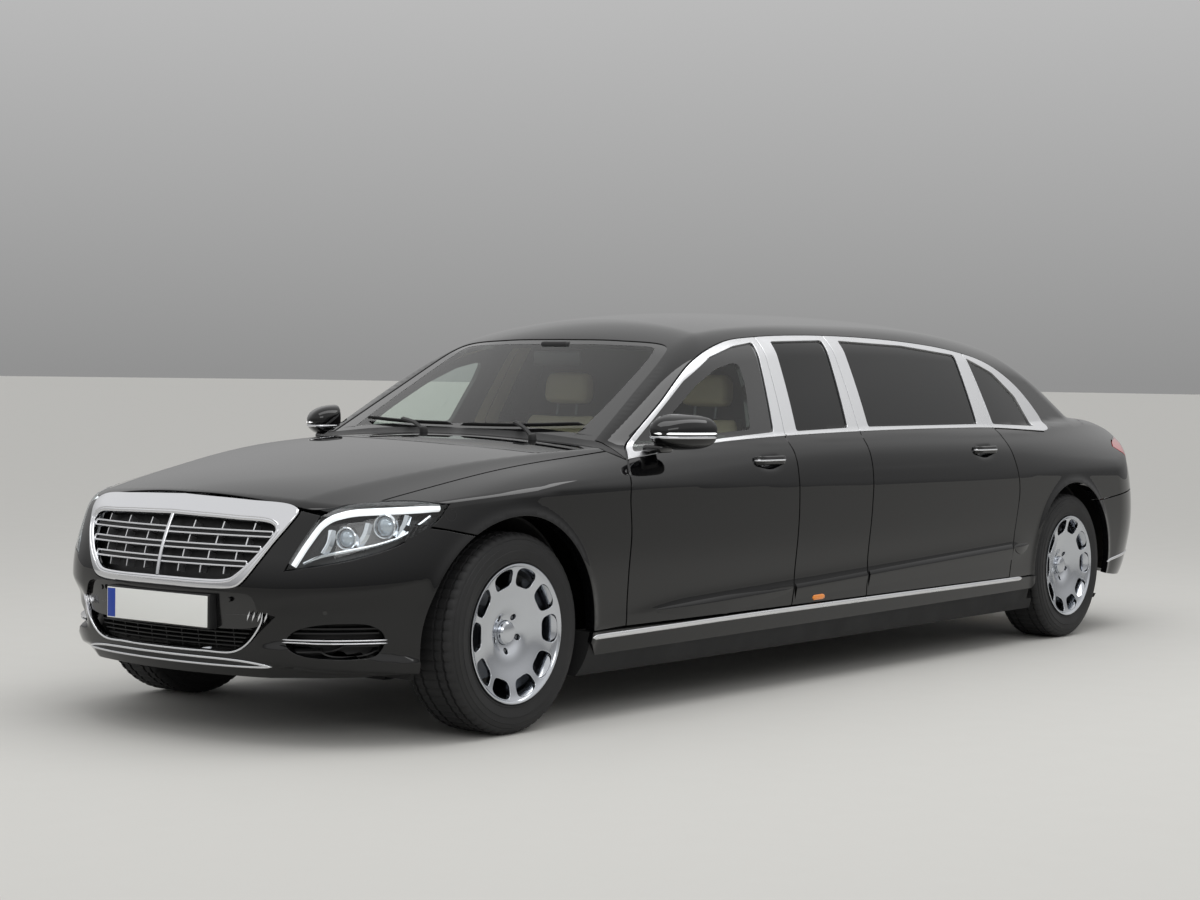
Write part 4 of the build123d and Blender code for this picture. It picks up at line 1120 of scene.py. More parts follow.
def openingLoop(centre):
    # rounded opening between two spokes: wider outside than inside
    pts = []
    for k in range(40):
        a = 2 * math.pi * k / 40
        c, s = math.cos(a), math.sin(a)
        u = math.copysign(abs(c) ** 0.62, c)
        v = math.copysign(abs(s) ** 0.62, s)
        r = (wheel["openIn"] + wheel["openOut"]) / 2 + u * (wheel["openOut"] - wheel["openIn"]) / 2
        t = math.radians(centre + v * wheel["openHalf"] * (0.97 + 0.03 * u))
        pts.append((r * math.cos(t), r * math.sin(t)))
    return np.array(pts)


boltTurns = [math.radians(126 + 72 * k) for k in range(5)]
boltSpots = [(wheel["boltRing"] * math.cos(a), wheel["boltRing"] * math.sin(a)) for a in boltTurns]
wheelHoles = []
for k in range(5):
    for s in (-1, 1):
        wheelHoles.append(openingLoop(90 + 72 * k + s * wheel["pairHalf"]))
    wheelHoles.append(ringLoop(wheel["boltHole"], 18, *boltSpots[k]))
wheelHoles.append(ringLoop(wheel["capR"], 48))
rimProfile = [(238, -912), (244, -919), (249, -922), (253, -921), (254, -915), (250, -908), (243, -900),
              (232, -880), (228, -840), (228, -760), (236, -700), (252, -690), (253, -684), (246, -684),
              (234, -694), (222, -730), (222, -880), (238, -912)]
tyreHalf = [(250, -909), (258, -914), (259, -917), (264, -919), (266, -917), (290, -923), (300, -924.5),
            (302, -922.5), (322, -922.5), (324, -920), (338, -916), (341, -912), (348, -911), (357, -904),
            (361, -898)]
tyreSpan = -1605  # sum of the two side walls' places across the car
treadGrooves = [-880, -840, -765, -725]
tyreProfile = list(tyreHalf)
for y in treadGrooves:
    tyreProfile += [(364, y - 6), (357, y - 5), (357, y + 5), (364, y + 6)]
tyreProfile += [(r, tyreSpan - y) for r, y in reversed(tyreHalf)]
tyreProfile.append(tyreProfile[0])
for name, axle in (("front", frontAxle), ("rear", rearAxle)):
    bodies = ("wheel_%s_left" % name, "wheel_%s_right" % name)
    panel(name + "WheelDish", bodies, dishSkin(axle), ringLoop(243.0, 120), wheelHoles, dishBack, step=11.0,
          material=alloy, innerMaterial=alloy, edge=2.4, gap=0.0, replacing=["wheel_" + name])
    revolve(name + "WheelRim", bodies, rimProfile, (axle, wheelRadius), alloy, count=112)
    revolve(name + "WheelCap", bodies,
            [(0, -884), (20, -883.5), (34, -881), (41, -875), (43, -868), (43, -850), (0, -850)],
            (axle, wheelRadius), alloy, count=48)
    revolve(name + "WheelHub", bodies,
            [(0, -846), (90, -846), (90, -752), (178, -752), (178, -724), (84, -718), (0, -718)],
            (axle, wheelRadius), steel, count=64)
    revolve(name + "Tyre", bodies, tyreProfile, (axle, wheelRadius), tyreRubber, count=240,
            notch=(4, 351.0, 5.0))
    for end in ("_left", "_right"):
        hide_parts("tyre_" + name + end)
    for k in range(5):
        place = (axle + boltSpots[k][0], wheelRadius + boltSpots[k][1])
        revolve(name + "WheelBolt%d" % k, bodies, [(0, -862), (7, -862), (8, -858), (8, -846)], place,
                steel, count=6)
print("stage: wheels")


def frontLine(points, lift=0.0):
    # a line given across the car and up, laid on the nose
    p = onSkin("front", points)
    n = normalAt(p)
    return p + n * lift, n


def halfWidth(loopHalf, z):
    # half width of a front opening at a height, from its lower right-hand side
    side = loopHalf[np.argmax(loopHalf[:, 0]):]
    return float(np.interp(z, side[::-1, 1], side[::-1, 0]))


# grille: chrome frame, three long rounded louvre loops, a centre bar and short fins before a dark back
grille = dict(rows=(631, 683, 735), loopHalf=9.0, fins=((606, 3), (657, 3), (709, 3), (760, 3)),
              finHigh=26.0, back=-46.0, louvre=-8.0)
panel("grilleFrame", "chassis", "front", fullFrom(grilleHalf), [fullFrom(grilleInner)], None, step=12.0,
      material=chrome, mirrored=False, lift=6.0, edge=7.0, gap=1.0, replacing=["grille"])
panel("grilleBack", "chassis", "front", fullFrom(grilleInner), (), None, step=24.0, material=plastic,
      mirrored=False, lift=grille["back"], edge=0.5, gap=-20.0)
for name, lift, grow in (("Outer", 4.0, 12.0), ("Inner", -2.0, 3.0)):
    edgePath = shrink(fullFrom(grilleInner), -grow)
    p, n = frontLine(edgePath, lift)
    sweep("grilleLip" + name, "chassis", p, n, halfRound(7.0, 5.0, 10.0), chrome, closed=True,
          mirrored=False)
for row, z in enumerate(grille["rows"]):
    w = halfWidth(grilleInner, z) - 14.0
    h = grille["loopHalf"]
    ends = [(w + h * math.sin(math.pi * k / 10), h * math.cos(math.pi * k / 10)) for k in range(11)]
    line = [(y, z + h) for y in np.linspace(-w, w, 50)[:-1]] + [(y, z + dz) for y, dz in ends]
    line += [(y, z - h) for y in np.linspace(w, -w, 50)[1:-1]] + [(-y, z + dz) for y, dz in reversed(ends)]
    p, n = frontLine(line, grille["louvre"])
    sweep("grilleLouvre%d" % row, "chassis", p, n, halfRound(7.5, 6.0, 16.0), chrome, closed=True,
          mirrored=False)
    bandLine = [(y, z) for y in np.linspace(-w, w, 40)]
    p, n = frontLine(bandLine, grille["louvre"] - 6.0)
    sweep("grilleBand%d" % row, "chassis", p, n, [(-9, 0), (-9, -16), (9, -16), (9, 0)], plastic,
          mirrored=False)
p, n = frontLine([(0, z) for z in np.linspace(574, 786, 24)], grille["louvre"] + 5.0)
sweep("grilleBar", "chassis", p, n, halfRound(15.0, 7.0, 20.0), chrome, mirrored=False)
for row, (z, count) in enumerate(grille["fins"]):
    w = halfWidth(grilleInner, z)
    for k in range(count):
        y = w * (k + 0.85) / (count + 0.55)
        p, n = frontLine([(y, z - grille["finHigh"] / 2), (y, z + grille["finHigh"] / 2)],
                         grille["louvre"] - 4.0)
        sweep("grilleFin%d%d" % (row, k), "chassis", p, n, [(-2.5, 0), (-2.5, -34), (2.5, -34), (2.5, 0)],
              satin)
print("stage: grille")

# head lamps: clear cover, dark bowl, white light guides and two projectors between bright dividers
lamp = dict(depth=-62.0, guide=-14.0, projectors=((-1652, 722, 33.0), (-1520, 762, 36.0)))
panel("lampCover", "chassis", "corner", lampLoop, (), None, step=14.0, material=lampCover, edge=1.5,
      gap=1.0, replacing=["headlamps"])
panel("lampBowl", "chassis", "corner", lampLoop, (), None, step=20.0, material=housing, lift=lamp["depth"],
      edge=0.5, gap=-12.0)


def cornerPath(points, lift):
    # a rounded line laid on the left front corner
    p = onSkin("corner", smoothPath(points, 8.0))
    n = normalAt(p)
    return p + n * lift, n


guideLine = [(-1826, 632), (-1775, 712), (-1712, 788), (-1640, 819), (-1525, 831), (-1400, 834),
             (-1312, 831)]
p, n = cornerPath(guideLine, lamp["guide"])
sweep("lampGuide", "chassis", p, n, [(-9, 0), (-6, 5), (6, 5), (9, 0), (9, -14), (-9, -14)], lightGuide)
lowLine = [(-1790, 640), (-1735, 664), (-1640, 684), (-1520, 708), (-1440, 736), (-1345, 800)]
p, n = cornerPath(lowLine, lamp["guide"])
sweep("lampLowBlade", "chassis", p, n, [(-5, 0), (0, 4), (5, 0), (5, -34), (-5, -34)], reflector)
for k, (a, b) in enumerate((((-1600, 700), (-1560, 782)), ((-1462, 730), (-1420, 806)),
                            ((-1720, 676), (-1692, 760)))):
    p, n = cornerPath([a, ((a[0] + b[0]) / 2 + 8, (a[1] + b[1]) / 2), b], lamp["guide"] - 12.0)
    sweep("lampDivider%d" % k, "chassis", p, n, [(-13, -4), (0, 4), (13, -4), (13, -30), (-13, -30)],
          reflector)


def facing(name, body, place, axis, profile, material, slot, count=48, mirrored=True):
    # turned piece whose axis points the way it faces; profile is (radius, distance forward)
    axis = np.array(axis, float) / np.linalg.norm(axis)
    a = np.cross(axis, (0, 0, 1.0))
    a /= np.linalg.norm(a)
    b = np.cross(a, axis)
    verts = []
    for k in range(count):
        t = 2 * math.pi * k / count
        for r, d in profile:
            verts.append(np.array(place) + (a * math.cos(t) + b * math.sin(t)) * r + axis * d)
    made = bothSides(name, body, verts, turnedFaces(count, len(profile)), material, mirrored)
    for obj in made:
        tidyNormals(obj, 35.0, weld=True)
    return made


for k, (u, z, r) in enumerate(lamp["projectors"]):
    at = onSkin("corner", [(u, z)])[0] + np.array((34.0, 20.0, 0))
    facing("lampRing%d" % k, "chassis", at, (-1, -0.25, 0),
           [(r + 8, -20), (r + 8, 2), (r + 5, 5), (r + 1, 3), (r, -6), (r - 2, -20)], reflector, "chrome")
    facing("lampBall%d" % k, "chassis", at, (-1, -0.25, 0),
           [(0, 10), (r * 0.4, 8), (r * 0.75, 1), (r - 2, -9)], lampEye, "lamp_glass")
print("stage: head lamps")

# front intake, plate carrier and bright strips of the bumper
carrierHalf = smoothPath([(0, 545), (360, 545), (440, 525), (452, 470), (452, 432), (410, 412), (0, 406)],
                         sharp=(0, 6))
panel("plateCarrier", "chassis", "front", fullFrom(carrierHalf), (), None, step=18.0, material=glossBlack,
      mirrored=False, lift=-13.0, edge=1.0, gap=-4.0)
backHalf = smoothPath([(0, 420), (420, 420), (400, 345), (345, 305), (0, 298)], sharp=(0, 4))
panel("intakeBack", "chassis", "front", fullFrom(backHalf), (), None, step=22.0, material=plastic,
      mirrored=False, lift=-85.0, edge=1.0, gap=-10.0)
for k, z in enumerate((336, 352, 368, 384, 400)):
    w = 348.0 + (z - 336) * 0.85
    p, n = frontLine([(y, z) for y in np.linspace(-w, w, 40)], -28.0)
    sweep("intakeSlat%d" % k, "chassis", p, n, [(-2, 0), (-3, -34), (3, -34), (2, 0)], plastic,
          mirrored=False)
for k in range(9):
    y = -320 + 80 * k
    p, n = frontLine([(y, 318), (y, 408)], -34.0)
    sweep("intakeRib%d" % k, "chassis", p, n, [(-2, 0), (-2, -26), (2, -26), (2, 0)], plastic,
          mirrored=False)
lipPath = smoothPath([(-462, 470), (-448, 420), (-400, 358), (-338, 324), (-200, 319), (0, 318), (200, 319),
                      (338, 324), (400, 358), (448, 420), (462, 470)])
p, n = frontLine(lipPath, -1.0)
sweep("intakeLip", "chassis", p, n, halfRound(8.0, 5.0, 10.0), chrome, mirrored=False,
      taper=60.0)
strips = dict(width=471.0, upper=(297, 19.0), lower=(272, -6.0))
for k, (z0, droop) in enumerate((strips["upper"], strips["lower"])):
    w = strips["width"]
    p, n = frontLine([(y, z0 - droop * (abs(y) / w) ** 6) for y in np.linspace(-w, w, 70)], 2.0)
    sweep("bumperStrip%d" % k, "chassis", p, n, halfRound(9.0, 5.0, 6.0), chrome, mirrored=False,
          taper=18.0)
p, n = frontLine([(y, 285) for y in np.linspace(-420, 420, 60)], 0.6)
sweep("bumperStripBed", "chassis", p, n, [(-11, 0), (-11, -6), (11, -6), (11, 0)], plastic, mirrored=False,
      taper=60.0)
for k in range(4):
    a = np.array((-416.0 - 20.0 * k, 470.0 - 1.0 * k))
    p, n = frontLine([a, a + (6, -16), a + (14, -36)], 1.0)
    sweep("intakeFin%d" % k, "chassis", p, n, halfRound(8.0, 4.0, 14.0), chrome, taper=8.0)
p, n = frontLine([(-402, 454), (-311, 453)], -8.0)
sweep("intakeWhisker", "chassis", p, n, halfRound(5.0, 4.0, 8.0), chrome, taper=20.0)

# oval side intakes
panel("sideIntakeBack", "chassis", "corner", sideIntake, (), None, step=20.0, material=plastic, lift=-62.0,
      edge=1.0, gap=-10.0)
for k, z in enumerate((328, 346, 392, 408)):
    p, n = cornerPath([(-1826, z), (-1700, z + 1), (-1520, z + 2)], -22.0)
    sweep("sideIntakeSlat%d" % k, "chassis", p, n, [(-2.5, 0), (-3, -30), (3, -30), (2.5, 0)], plastic)
for k, z in enumerate((363, 374)):
    p, n = cornerPath([(-1858, z), (-1700, z - 1), (-1496, z)], 1.0)
    sweep("sideIntakeBar%d" % k, "chassis", p, n, halfRound(6.5, 5.0, 12.0), chrome,
          taper=14.0)
p, n = cornerPath([(-1850, 368.5), (-1700, 368), (-1504, 368.5)], -2.0)
sweep("sideIntakeBed", "chassis", p, n, [(-5, 0), (-5, -24), (5, -24), (5, 0)], plastic)

# blank plate with its plain blue end, on a carrier
plate = dict(width=520.0, height=110.0, z=459.0, blue=44.0)
plateX = float(onSkin("front", [(0.0, plate["z"])])[0][0]) - 4.0
roundedBox("plateBoard", "chassis", (plateX, -plate["width"] / 2, plate["z"] - plate["height"] / 2),
           (plateX + 6, plate["width"] / 2, plate["z"] + plate["height"] / 2), 2.5, plateWhite)
roundedBox("plateStrip", "chassis",
           (plateX - 0.8, plate["width"] / 2 - plate["blue"], plate["z"] - plate["height"] / 2 + 4),
           (plateX + 2, plate["width"] / 2 - 4, plate["z"] + plate["height"] / 2 - 4), 0.5, plateBlue)
roundedBox("plateRim", "chassis",
           (plateX + 2, -plate["width"] / 2 - 6, plate["z"] - plate["height"] / 2 - 6),
           (plateX + 46, plate["width"] / 2 + 6, plate["z"] + plate["height"] / 2 + 6), 5.0, plastic)
# parking sensors
for k, (y, z) in enumerate(((-330, 505), (-640, 470))):
    at = onSkin("front", [(y, z)])
    facing("sensor%d" % k, "chassis", at[0], normalAt(at)[0], [(0, 1.2), (8, 1.0), (9, -6)], glossBlack,
           "black_plastic", 24)
print("stage: front bumper")

# tail lamps, rear bumper strip, seal under the boot lid and lower rear panel
tailInner = onSkin("back", [(-578, 990), (-578, 940), (-578, 860), (-578, 778)])
tailLoop = loopOf(readAs("tail", np.vstack([onSkin("side", tailTop), tailInner, onSkin("side", tailLow)])))
panel("tailLens", "chassis", "tail", tailLoop, (), None, step=14.0, material=redLens, edge=1.5, gap=2.0,
      replacing=["tail_lamps"])
for k, (a, b) in enumerate((((-850, 915), (-590, 885)), ((-840, 862), (-590, 838)))):
    line = onSkin("back", np.stack([np.linspace(a[0], b[0], 20), np.linspace(a[1], b[1], 20)], -1))
    sweep("tailGuide%d" % k, "chassis", line, normalAt(line), halfRound(16.0, 2.5, 3.0),
          lightGuide if k else redLens, taper=12.0)
stripEnd = readAs("tail", onSkin("side", [(2466, 362)]))[0]
across = np.linspace(stripEnd[0], -stripEnd[0], 150)
p = onSkin("tail", np.stack([across, 402 - (402 - stripEnd[1]) * np.abs(across / stripEnd[0]) ** 7], -1))
sweep("rearStrip", "chassis", p, normalAt(p), halfRound(14.0, 5.0, 6.0), chrome, mirrored=False,
      taper=20.0)
p = onSkin("back", np.stack([np.linspace(-600, 600, 60), np.full(60, 773.0)], -1))
sweep("lidSeal", "chassis", p - 16.0 * normalAt(p), normalAt(p),
      [(-12, -4), (12, -4), (12, 0), (0, 5), (-12, 0)], rubber, mirrored=False)
lowerHalf = smoothPath([(0, 372), (500, 372), (760, 380), (740, 300), (0, 286)], sharp=(0, 4))
rearLower = loopOf(readAs("tail", onSkin("back", fullFrom(lowerHalf))))
panel("rearDiffuser", "chassis", "tail", rearLower, (), None, step=22.0, material=plastic, mirrored=False,
      lift=1.5, edge=1.0, gap=0.5)
print("stage: rear")

# frame pieces that stay in view get their finish
finishes = {"floor_pan": underbody, "engine": plastic, "front_axle": steel, "rear_axle": steel,
            "knuckle_left": steel, "knuckle_right": steel,
            "wheel_liners": underbody, "partition": darkLeather, "rear_bulkhead": lining}
for node, finish in finishes.items():
    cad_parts[node].data.materials.clear()
    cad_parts[node].data.materials.append(finish)


def lofted(name, body, rings, material):
    # skin over closed rings of equal count, with both ends closed
    m = len(rings[0])
    verts = np.vstack(rings)
    faces = []
    for k in range(len(rings) - 1):
        faces += [(k * m + q, k * m + (q + 1) % m, (k + 1) * m + (q + 1) % m, (k + 1) * m + q)
                  for q in range(m)]
    faces += [tuple(range(m)), tuple((len(rings) - 1) * m + q for q in range(m))]
    made = bothSides(name, body, verts, faces, material, True)
    for obj in made:
        tidyNormals(obj, 40.0)
    return made


# door mirrors: domed cap, bright line with lamp, glass and foot
mirror = dict(front=-1548.0, rear=-1384.0, cy=-958.0, cz=1081.0, wide=97.0, high=70.0, sweepBack=0.6,
              bodies=frontDoors)
turns = np.linspace(0, 2 * math.pi, 48, endpoint=False)


def domeSize(s):
    # share of the mirror's full section, from its front at 0 to its rear at 1
    return (1 - (1 - s) ** 2.4) ** 0.5


def mirrorX(s, u):
    # place along the car, swept back on the side away from the door
    return mirror["front"] + (mirror["rear"] - mirror["front"]) * s - mirror["sweepBack"] * (u - 20)


def mirrorRing(s, grow=1.0):
    size = domeSize(s) * grow
    c, q = np.cos(turns), np.sin(turns)
    u = np.sign(c) * np.abs(c) ** 0.72 * mirror["wide"] * size
    v = np.sign(q) * np.abs(q) ** 0.72 * mirror["high"] * size * (1 + 0.1 * u / mirror["wide"])
    return np.stack([mirrorX(s, u), mirror["cy"] + u, mirror["cz"] + v], -1)


capRings = [mirrorRing(s) for s in (0.004, 0.03, 0.08, 0.16, 0.27, 0.4, 0.55, 0.72, 0.88, 0.97)]
capRings += [mirrorRing(1.0, 0.985), mirrorRing(1.0, 0.93), mirrorRing(0.94, 0.9)]
for obj in lofted("mirrorCap", mirror["bodies"], capRings, paint):
    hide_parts("mirror_" + obj.name.rsplit("_", 1)[1])
lofted("mirrorGlass", mirror["bodies"], [mirrorRing(0.955, 0.9), mirrorRing(0.975, 0.9)], chrome)
for name, level, high, finish, slotName, part0 in (("mirrorStrip", -20.0, 9.0, chrome, "chrome", 0),
                                                   ("mirrorLamp", -5.0, 8.0, lightGuide, "lamp_glass", 14)):
    line = []
    for s in list(np.linspace(0.97, 0.02, 16)) + list(np.linspace(0.02, 0.97, 16)):
        size = domeSize(s)
        reach = max(1 - (abs(level) / (mirror["high"] * max(size, 0.36))) ** 2.78, 0.0) ** 0.36
        way = 1.0 if len(line) < 16 else -1.0
        u = way * mirror["wide"] * size * reach
        line.append((mirrorX(s, u), mirror["cy"] + u, mirror["cz"] + level))
    line = np.array(line[part0:])
    outward = line - np.array((mirror["rear"] - 20, mirror["cy"], mirror["cz"] + level))
    outward[:, 0] *= 0.6
    sweep(name, mirror["bodies"], line, unit(outward), halfRound(high, 2.5, 5.0), finish,
          taper=12.0)
for k, sideName in enumerate(("left", "right")):
    flip = 1 if k else -1
    ys = sorted((flip * 838.0, flip * 934.0))
    roundedBox("mirrorFoot_" + sideName, mirror["bodies"][k], (-1520, ys[0], 1000), (-1440, ys[1], 1032),
               12.0, glossBlack)
print("stage: mirrors")

# wipers at the foot of the windscreen
for name, path, pivot in (("left", [(-600, 1098), (-330, 1087), (-30, 1084)], (-1742, -470)),
                          ("right", [(10, 1086), (300, 1089), (570, 1100)], (-1752, 90))):
    blade = onSkin("front", smoothPath(path, 25.0))
    lean = normalAt(blade)
    sweep("wiperBlade" + name, "chassis", blade + lean * 3.0, lean,
          [(-3, 0), (-5, 8), (-3, 14), (3, 14), (5, 8), (3, 0)], rubber, mirrored=False,
          taper=30.0)
    foot = onSkin("top", [pivot])[0] + np.array((0, 0, 8.0))
    mid = blade[len(blade) // 2] + lean[0] * 20.0
    arm = smoothPath([foot, foot * 0.6 + mid * 0.4 + np.array((0, 0, 10.0)), mid], 30.0)
    sweep("wiperArm" + name, "chassis", arm, np.tile(lean[0], (len(arm), 1)),
          [(-9, 0), (-6, 7), (6, 7), (9, 0)], plastic, mirrored=False)
    facing("wiperCap" + name, "chassis", foot, (-0.2, 0, 1), [(0, 16), (12, 15), (16, 9), (17, -14)],
           plastic, "black_plastic", 24, False)

# seam of the round cap in the fender
capTurn = np.linspace(0, 2 * math.pi, 40, endpoint=False)
capRing = onSkin("side", np.stack([-2676 + 21 * np.cos(capTurn), 802 + 21 * np.sin(capTurn)], -1))
sweep("fenderCapSeam", "chassis", capRing, normalAt(capRing),
      [(-1.4, 0.5), (1.4, 0.5), (1.4, -3), (-1.4, -3)], rubber, closed=True)
print("stage: wipers")


# seat pads, swollen once by cloth with pressure and copied to every seat
def swollen(name, size, radius, voxel, cap, profile, seams):
    work = bmesh.new()
    bmesh.ops.create_cube(work, size=1.0)
    for v in work.verts:
        v.co = Vector((v.co[0] * size[0] * mm, v.co[1] * size[1] * mm, v.co[2] * size[2] * mm))
    bmesh.ops.bevel(work, geom=list(work.edges), offset=radius * mm, segments=4, profile=0.5,
                    affect="EDGES")
    mesh = bpy.data.meshes.new(name)
    work.to_mesh(mesh)
    work.free()
    obj = bpy.data.objects.new(name, mesh)
    bpy.context.scene.collection.objects.link(obj)

    def applied():
        bpy.context.view_layer.update()
        done = bpy.data.meshes.new_from_object(obj.evaluated_get(bpy.context.evaluated_depsgraph_get()))
        obj.modifiers.clear()
        obj.data = done

    def points():
        flat = np.zeros(len(obj.data.vertices) * 3, np.float32)
        obj.data.vertices.foreach_get("co", flat)
        return flat.reshape(-1, 3).astype(float) / mm

    def place(q):
        obj.data.vertices.foreach_set("co", (q * mm).astype(np.float32).ravel())
        obj.data.update()

    remesh = obj.modifiers.new("remesh", "REMESH")
    remesh.mode = "VOXEL"
    remesh.voxel_size = voxel * mm
    applied()
    rest = profile(points())
    place(rest)
    cloth = obj.modifiers.new("cloth", "CLOTH")
    cloth.settings.quality = 4
    cloth.settings.use_pressure = True
    cloth.settings.uniform_pressure_force = 4.0
    cloth.settings.effector_weights.gravity = 0.0
    cloth.collision_settings.use_collision = False
    cloth.point_cache.frame_start = 1
    cloth.point_cache.frame_end = 20
    for k in range(1, 21):
        bpy.context.scene.frame_set(k)
    applied()
    bpy.context.scene.frame_set(1)
    move = points() - rest
    far = np.linalg.norm(move, axis=1, keepdims=True)
    move = move * np.minimum(1.0, cap / np.maximum(far, 1e-6))
    flatSide = np.clip((rest[:, 2:3] + size[2] / 2) / (0.35 * size[2]), 0.15, 1.0)
    place(rest + move * flatSide)
    smooth = obj.modifiers.new("smooth", "SUBSURF")
    smooth.levels = 1
    smooth.render_levels = 1
    applied()
    q = points()
    q[:, 2] -= seams(q) * (q[:, 2] > 0)
    place(q)
    obj.data.polygons.foreach_set("use_smooth", [True] * len(obj.data.polygons))
    mesh = obj.data
    bpy.data.objects.remove(obj)
    return mesh


def groove(v, centre, width, depth):
    return depth * np.exp(-((v - centre) / width) ** 2)


def cushionShape(q):
    q = q.copy()
    q[:, 2] += np.where(q[:, 2] > 0,
                        26.0 * ramp(np.abs(q[:, 1]), 150, 225) + 14.0 * ramp(-q[:, 0], 100, 230), 0)
    return q


def backShape(q):
    q = q.copy()
    bolster = 30.0 * ramp(np.abs(q[:, 1]), 145, 225) * (1 - ramp(q[:, 0], 170, 300))
    loin = 10 * np.exp(-((q[:, 0] + 150) / 120) ** 2)
    q[:, 2] += np.where(q[:, 2] > 0, bolster + loin, 0)
    q[:, 1] *= 1 - 0.16 * ramp(q[:, 0], 120, 310)
    return q


def headShape(q):
    q = q.copy()
    q[:, 1] *= 1 - 0.1 * ramp(q[:, 0], 0, 80)
    return q


def seatSeams(q):
    lines = groove(np.abs(q[:, 1]), 150, 7.0, 6.0)
    for k in range(-2, 3):
        lines = lines + groove(q[:, 0], 30 + 88 * k, 7.0, 4.0) * (np.abs(q[:, 1]) < 150)
    return lines


def backSeams(q):
    lines = groove(np.abs(q[:, 1]), 138, 7.0, 6.0) * (1 - ramp(q[:, 0], 200, 260))
    low = 1 - ramp(q[:, 0], 200, 240)
    for k in (-1, 0, 1):
        lines = lines + groove(q[:, 1], 62 * k, 6.0, 3.5) * low * (np.abs(q[:, 1]) < 138)
    return lines


pads = {
    "cushion": swollen("cushionPad", (452, 486, 118), 34.0, 18.0, 14.0, cushionShape, seatSeams),
    "back": swollen("backPad", (604, 478, 104), 36.0, 18.0, 14.0, backShape, backSeams),
    "head": swollen("headPad", (138, 246, 84), 30.0, 12.0, 9.0, headShape,
                    lambda q: groove(np.abs(q[:, 1]), 72, 5.0, 3.0)),
}
print("stage: pads")
leanBack = Matrix.Rotation(-math.atan2(590.0, 192.0), 4, "Y")  # slope of the backrest
headBack = Matrix.Rotation(-math.radians(84), 4, "Y")
turnOver = Matrix.Rotation(math.pi, 4, "X")
postRound = [(6 * math.cos(a), 6 * math.sin(a)) for a in np.linspace(0, 2 * math.pi, 12, endpoint=False)]
seats = {"front_seats": dict(x=-1090.0, width=1.0, depth=0.0, finish=leather, slot="leather"),
         "rear_seats": dict(x=880.0, width=1.18, depth=20.0, finish=leather, slot="leather")}
for node, seat in seats.items():
    for k, y in enumerate((-385.0, 385.0)):
        x, deep = seat["x"], seat["depth"]
        wide = Matrix.Diagonal((1, seat["width"], 1, 1))
        tilt = Matrix.Rotation(math.radians(-4.0), 4, "Y")
        places = {
            "cushion": Matrix.Translation(Vector((x + 228, y, 478)) * mm) @ wide @ tilt.inverted(),
            "back": Matrix.Translation(Vector((x + 560 + deep, y, 826)) * mm) @ wide @ leanBack @ turnOver,
            "head": Matrix.Translation(Vector((x + 664 + deep, y, 1238)) * mm) @ wide @ headBack @ turnOver,
        }
        for padName, place in places.items():
            mesh = pads[padName].copy()
            mesh.transform(place)
            if place.determinant() < 0:
                mesh.flip_normals()
            mesh.materials.clear()
            mesh.materials.append(seat["finish"])
            obj = bpy.data.objects.new("%s_%s_%d" % (node, padName, k), mesh)
            bpy.context.scene.collection.objects.link(obj)
            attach(obj, "chassis")
            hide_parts(node)
        half = 215 * seat["width"]
        roundedBox("%s_base_%d" % (node, k), "chassis", (x + 20, y - half, 226),
                   (x + 490 + deep, y + half, 425), 24.0, darkLeather)
        roundedBox("%s_shell_%d" % (node, k), "chassis", (-302, -half, -44), (300, half, -24), 9.0,
                   darkLeather, matrix=Matrix.Translation(Vector((x + 572 + deep, y, 820))
                           * mm) @ leanBack @ turnOver)
        for side in (-1, 1):
            rod = np.array([(x + 640 + deep, y + side * 55, 1090), (x + 660 + deep, y + side * 55, 1200)],
                           float)
            sweep("%s_post_%d%d" % (node, k, side > 0), "chassis", rod, np.tile((1.0, 0, 0), (2, 1)),
                  postRound, steel, mirrored=False)
print("stage: seats")

# dashboard, console, steering wheel, inner mirror and the housing at the top of the windscreen
dash = roundedBox("dashTop", "chassis", (-1592, -752, 742), (-1292, 752, 984), 58.0, darkLeather,
                  6)
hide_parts("dashboard")
roundedBox("dashFoot", "chassis", (-1618, -752, 228), (-1592, 752, 955), 6.0, plastic)
roundedBox("console", "chassis", (-1588, -98, 228), (-704, 98, 638), 26.0, darkLeather, 5)
roundedBox("dashScreen", "chassis", (-1296, -600, 862), (-1284, 60, 966), 5.0, glossBlack)
roundedBox("dashBand", "chassis", (-1297, -740, 800), (-1287, 740, 846), 4.0, satin)
wheelHub, wheelTilt = np.array((-1130.0, -385.0, 905.0)), math.radians(24.0)
toDriver = np.array((math.cos(wheelTilt), 0, math.sin(wheelTilt)))
rimRound = [(179 + 13 * math.cos(a), 13 * math.sin(a)) for a in np.linspace(0, 2 * math.pi, 17)]
steer = facing("steeringRim", "chassis", wheelHub, toDriver, rimRound, leather, "leather", 72, False)[0]
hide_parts("steering_wheel")
facing("steeringPad", "chassis", wheelHub, toDriver,
       [(0, 16), (30, 15), (52, 9), (62, -4), (60, -22), (34, -26), (31, -195)], darkLeather,
       "dark_leather", 48, False)
turn = Matrix.Translation(Vector(wheelHub) * mm) @ Matrix.Rotation(-wheelTilt, 4, "Y")
for k, angle in enumerate((180, 0, 250, 290)):
    roundedBox("steeringSpoke%d" % k, "chassis", (-8, 40, -15), (6, 172, 15), 5.0, darkLeather,
               matrix=turn @ Matrix.Rotation(math.radians(angle - 90), 4, "X"))
roundedBox("cameraHousing", "chassis", (-1030, -75, 1405), (-900, 75, 1440), 12.0, plastic)
roundedBox("innerMirror", "chassis", (-1012, -125, 1338), (-990, 125, 1398), 9.0, plastic)
roundedBox("innerMirrorStem", "chassis", (-1008, -14, 1390), (-984, 14, 1430), 5.0, plastic)
print("stage: cabin")

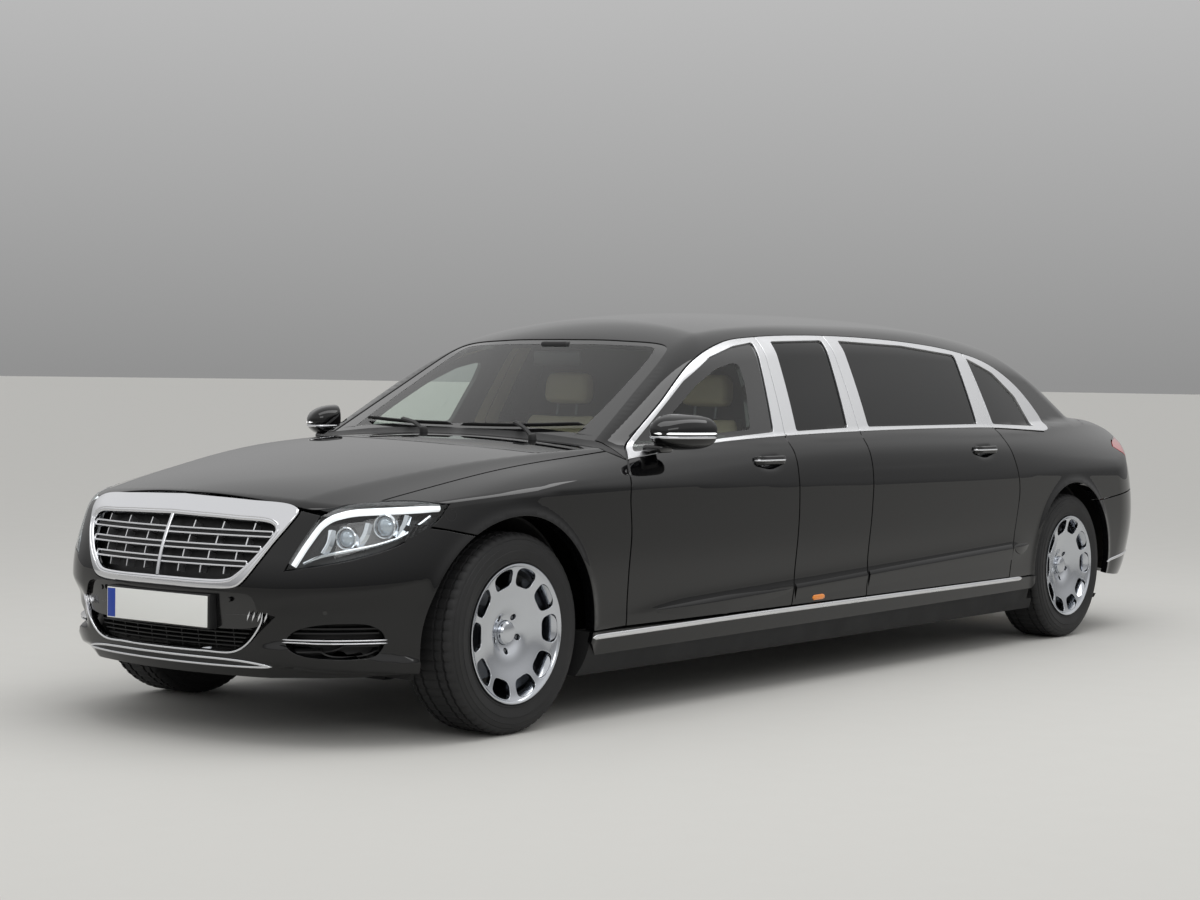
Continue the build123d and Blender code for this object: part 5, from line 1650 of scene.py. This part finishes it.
# floor, light and camera
floor = bpy.data.objects.new("floor", bpy.data.meshes.new("floor"))
floor.data.from_pydata([(-300, -300, 0), (300, -300, 0), (300, 300, 0), (-300, 300, 0)], [], [(0, 1, 2, 3)])
floor.data.materials.append(plainMaterial("pale studio floor", "C9C8C4", 0.75, grainMm=4.0, heightMm=0.05))
bpy.context.scene.collection.objects.link(floor)
world = bpy.data.worlds.new("studio")
bpy.context.scene.world = world
world.use_nodes = True
tree = world.node_tree
tree.nodes.clear()
worldOut = addNode(tree, "ShaderNodeOutputWorld")
coord = addNode(tree, "ShaderNodeTexCoord")
split = addNode(tree, "ShaderNodeSeparateXYZ", links={0: coord.outputs["Generated"]})
rampNode = addNode(tree, "ShaderNodeValToRGB", links={"Fac": split.outputs["Z"]})
for k, (place, grey) in enumerate(((0.0, 0.3),
                                   (0.4, 0.85))):  # the backdrop meets the floor in its own grey
    rampNode.color_ramp.elements[k].position = place
    rampNode.color_ramp.elements[k].color = (grey, grey, grey, 1)
back = addNode(tree, "ShaderNodeBackground", values={"Strength": 0.95},
               links={"Color": rampNode.outputs[0]})
tree.links.new(back.outputs[0], worldOut.inputs[0])


def areaLight(name, place, target, size, power):
    data = bpy.data.lights.new(name, "AREA")
    data.shape = "RECTANGLE"
    data.size, data.size_y = size
    data.energy = power
    obj = bpy.data.objects.new(name, data)
    obj.location = place
    obj.rotation_euler = (Vector(target) - Vector(place)).to_track_quat("-Z", "Y").to_euler()
    bpy.context.scene.collection.objects.link(obj)


areaLight("overhead", (-0.5, -1.5, 6.0), (0, 0, 0.5), (9.0, 3.0), 190)
areaLight("frontSoft", (-8.0, -9.0, 6.0), (-1.5, 0, 0.6), (6.0, 3.0), 120)

camera = bpy.data.objects.new("camera", bpy.data.cameras.new("camera"))
bpy.context.scene.collection.objects.link(camera)
bpy.context.scene.camera = camera
camera.data.sensor_width = 36.0
camera.data.lens = 69.70
yaw, pitch, roll = math.radians(52.5444), math.radians(-1.8075), math.radians(0.8279)
forward = Vector((math.cos(pitch) * math.sin(yaw), math.cos(pitch) * math.cos(yaw), math.sin(pitch)))
rightDir = forward.cross(Vector((0, 0, 1))).normalized()
upDir = rightDir.cross(forward)
r2 = rightDir * math.cos(roll) + upDir * math.sin(roll)
u2 = -rightDir * math.sin(roll) + upDir * math.cos(roll)
view = Matrix((r2, u2, -forward)).transposed().to_4x4()
view.translation = Vector((-8.7896, -6.2038, 1.2920))
camera.matrix_world = view
bpy.context.scene.view_settings.view_transform = "Standard"
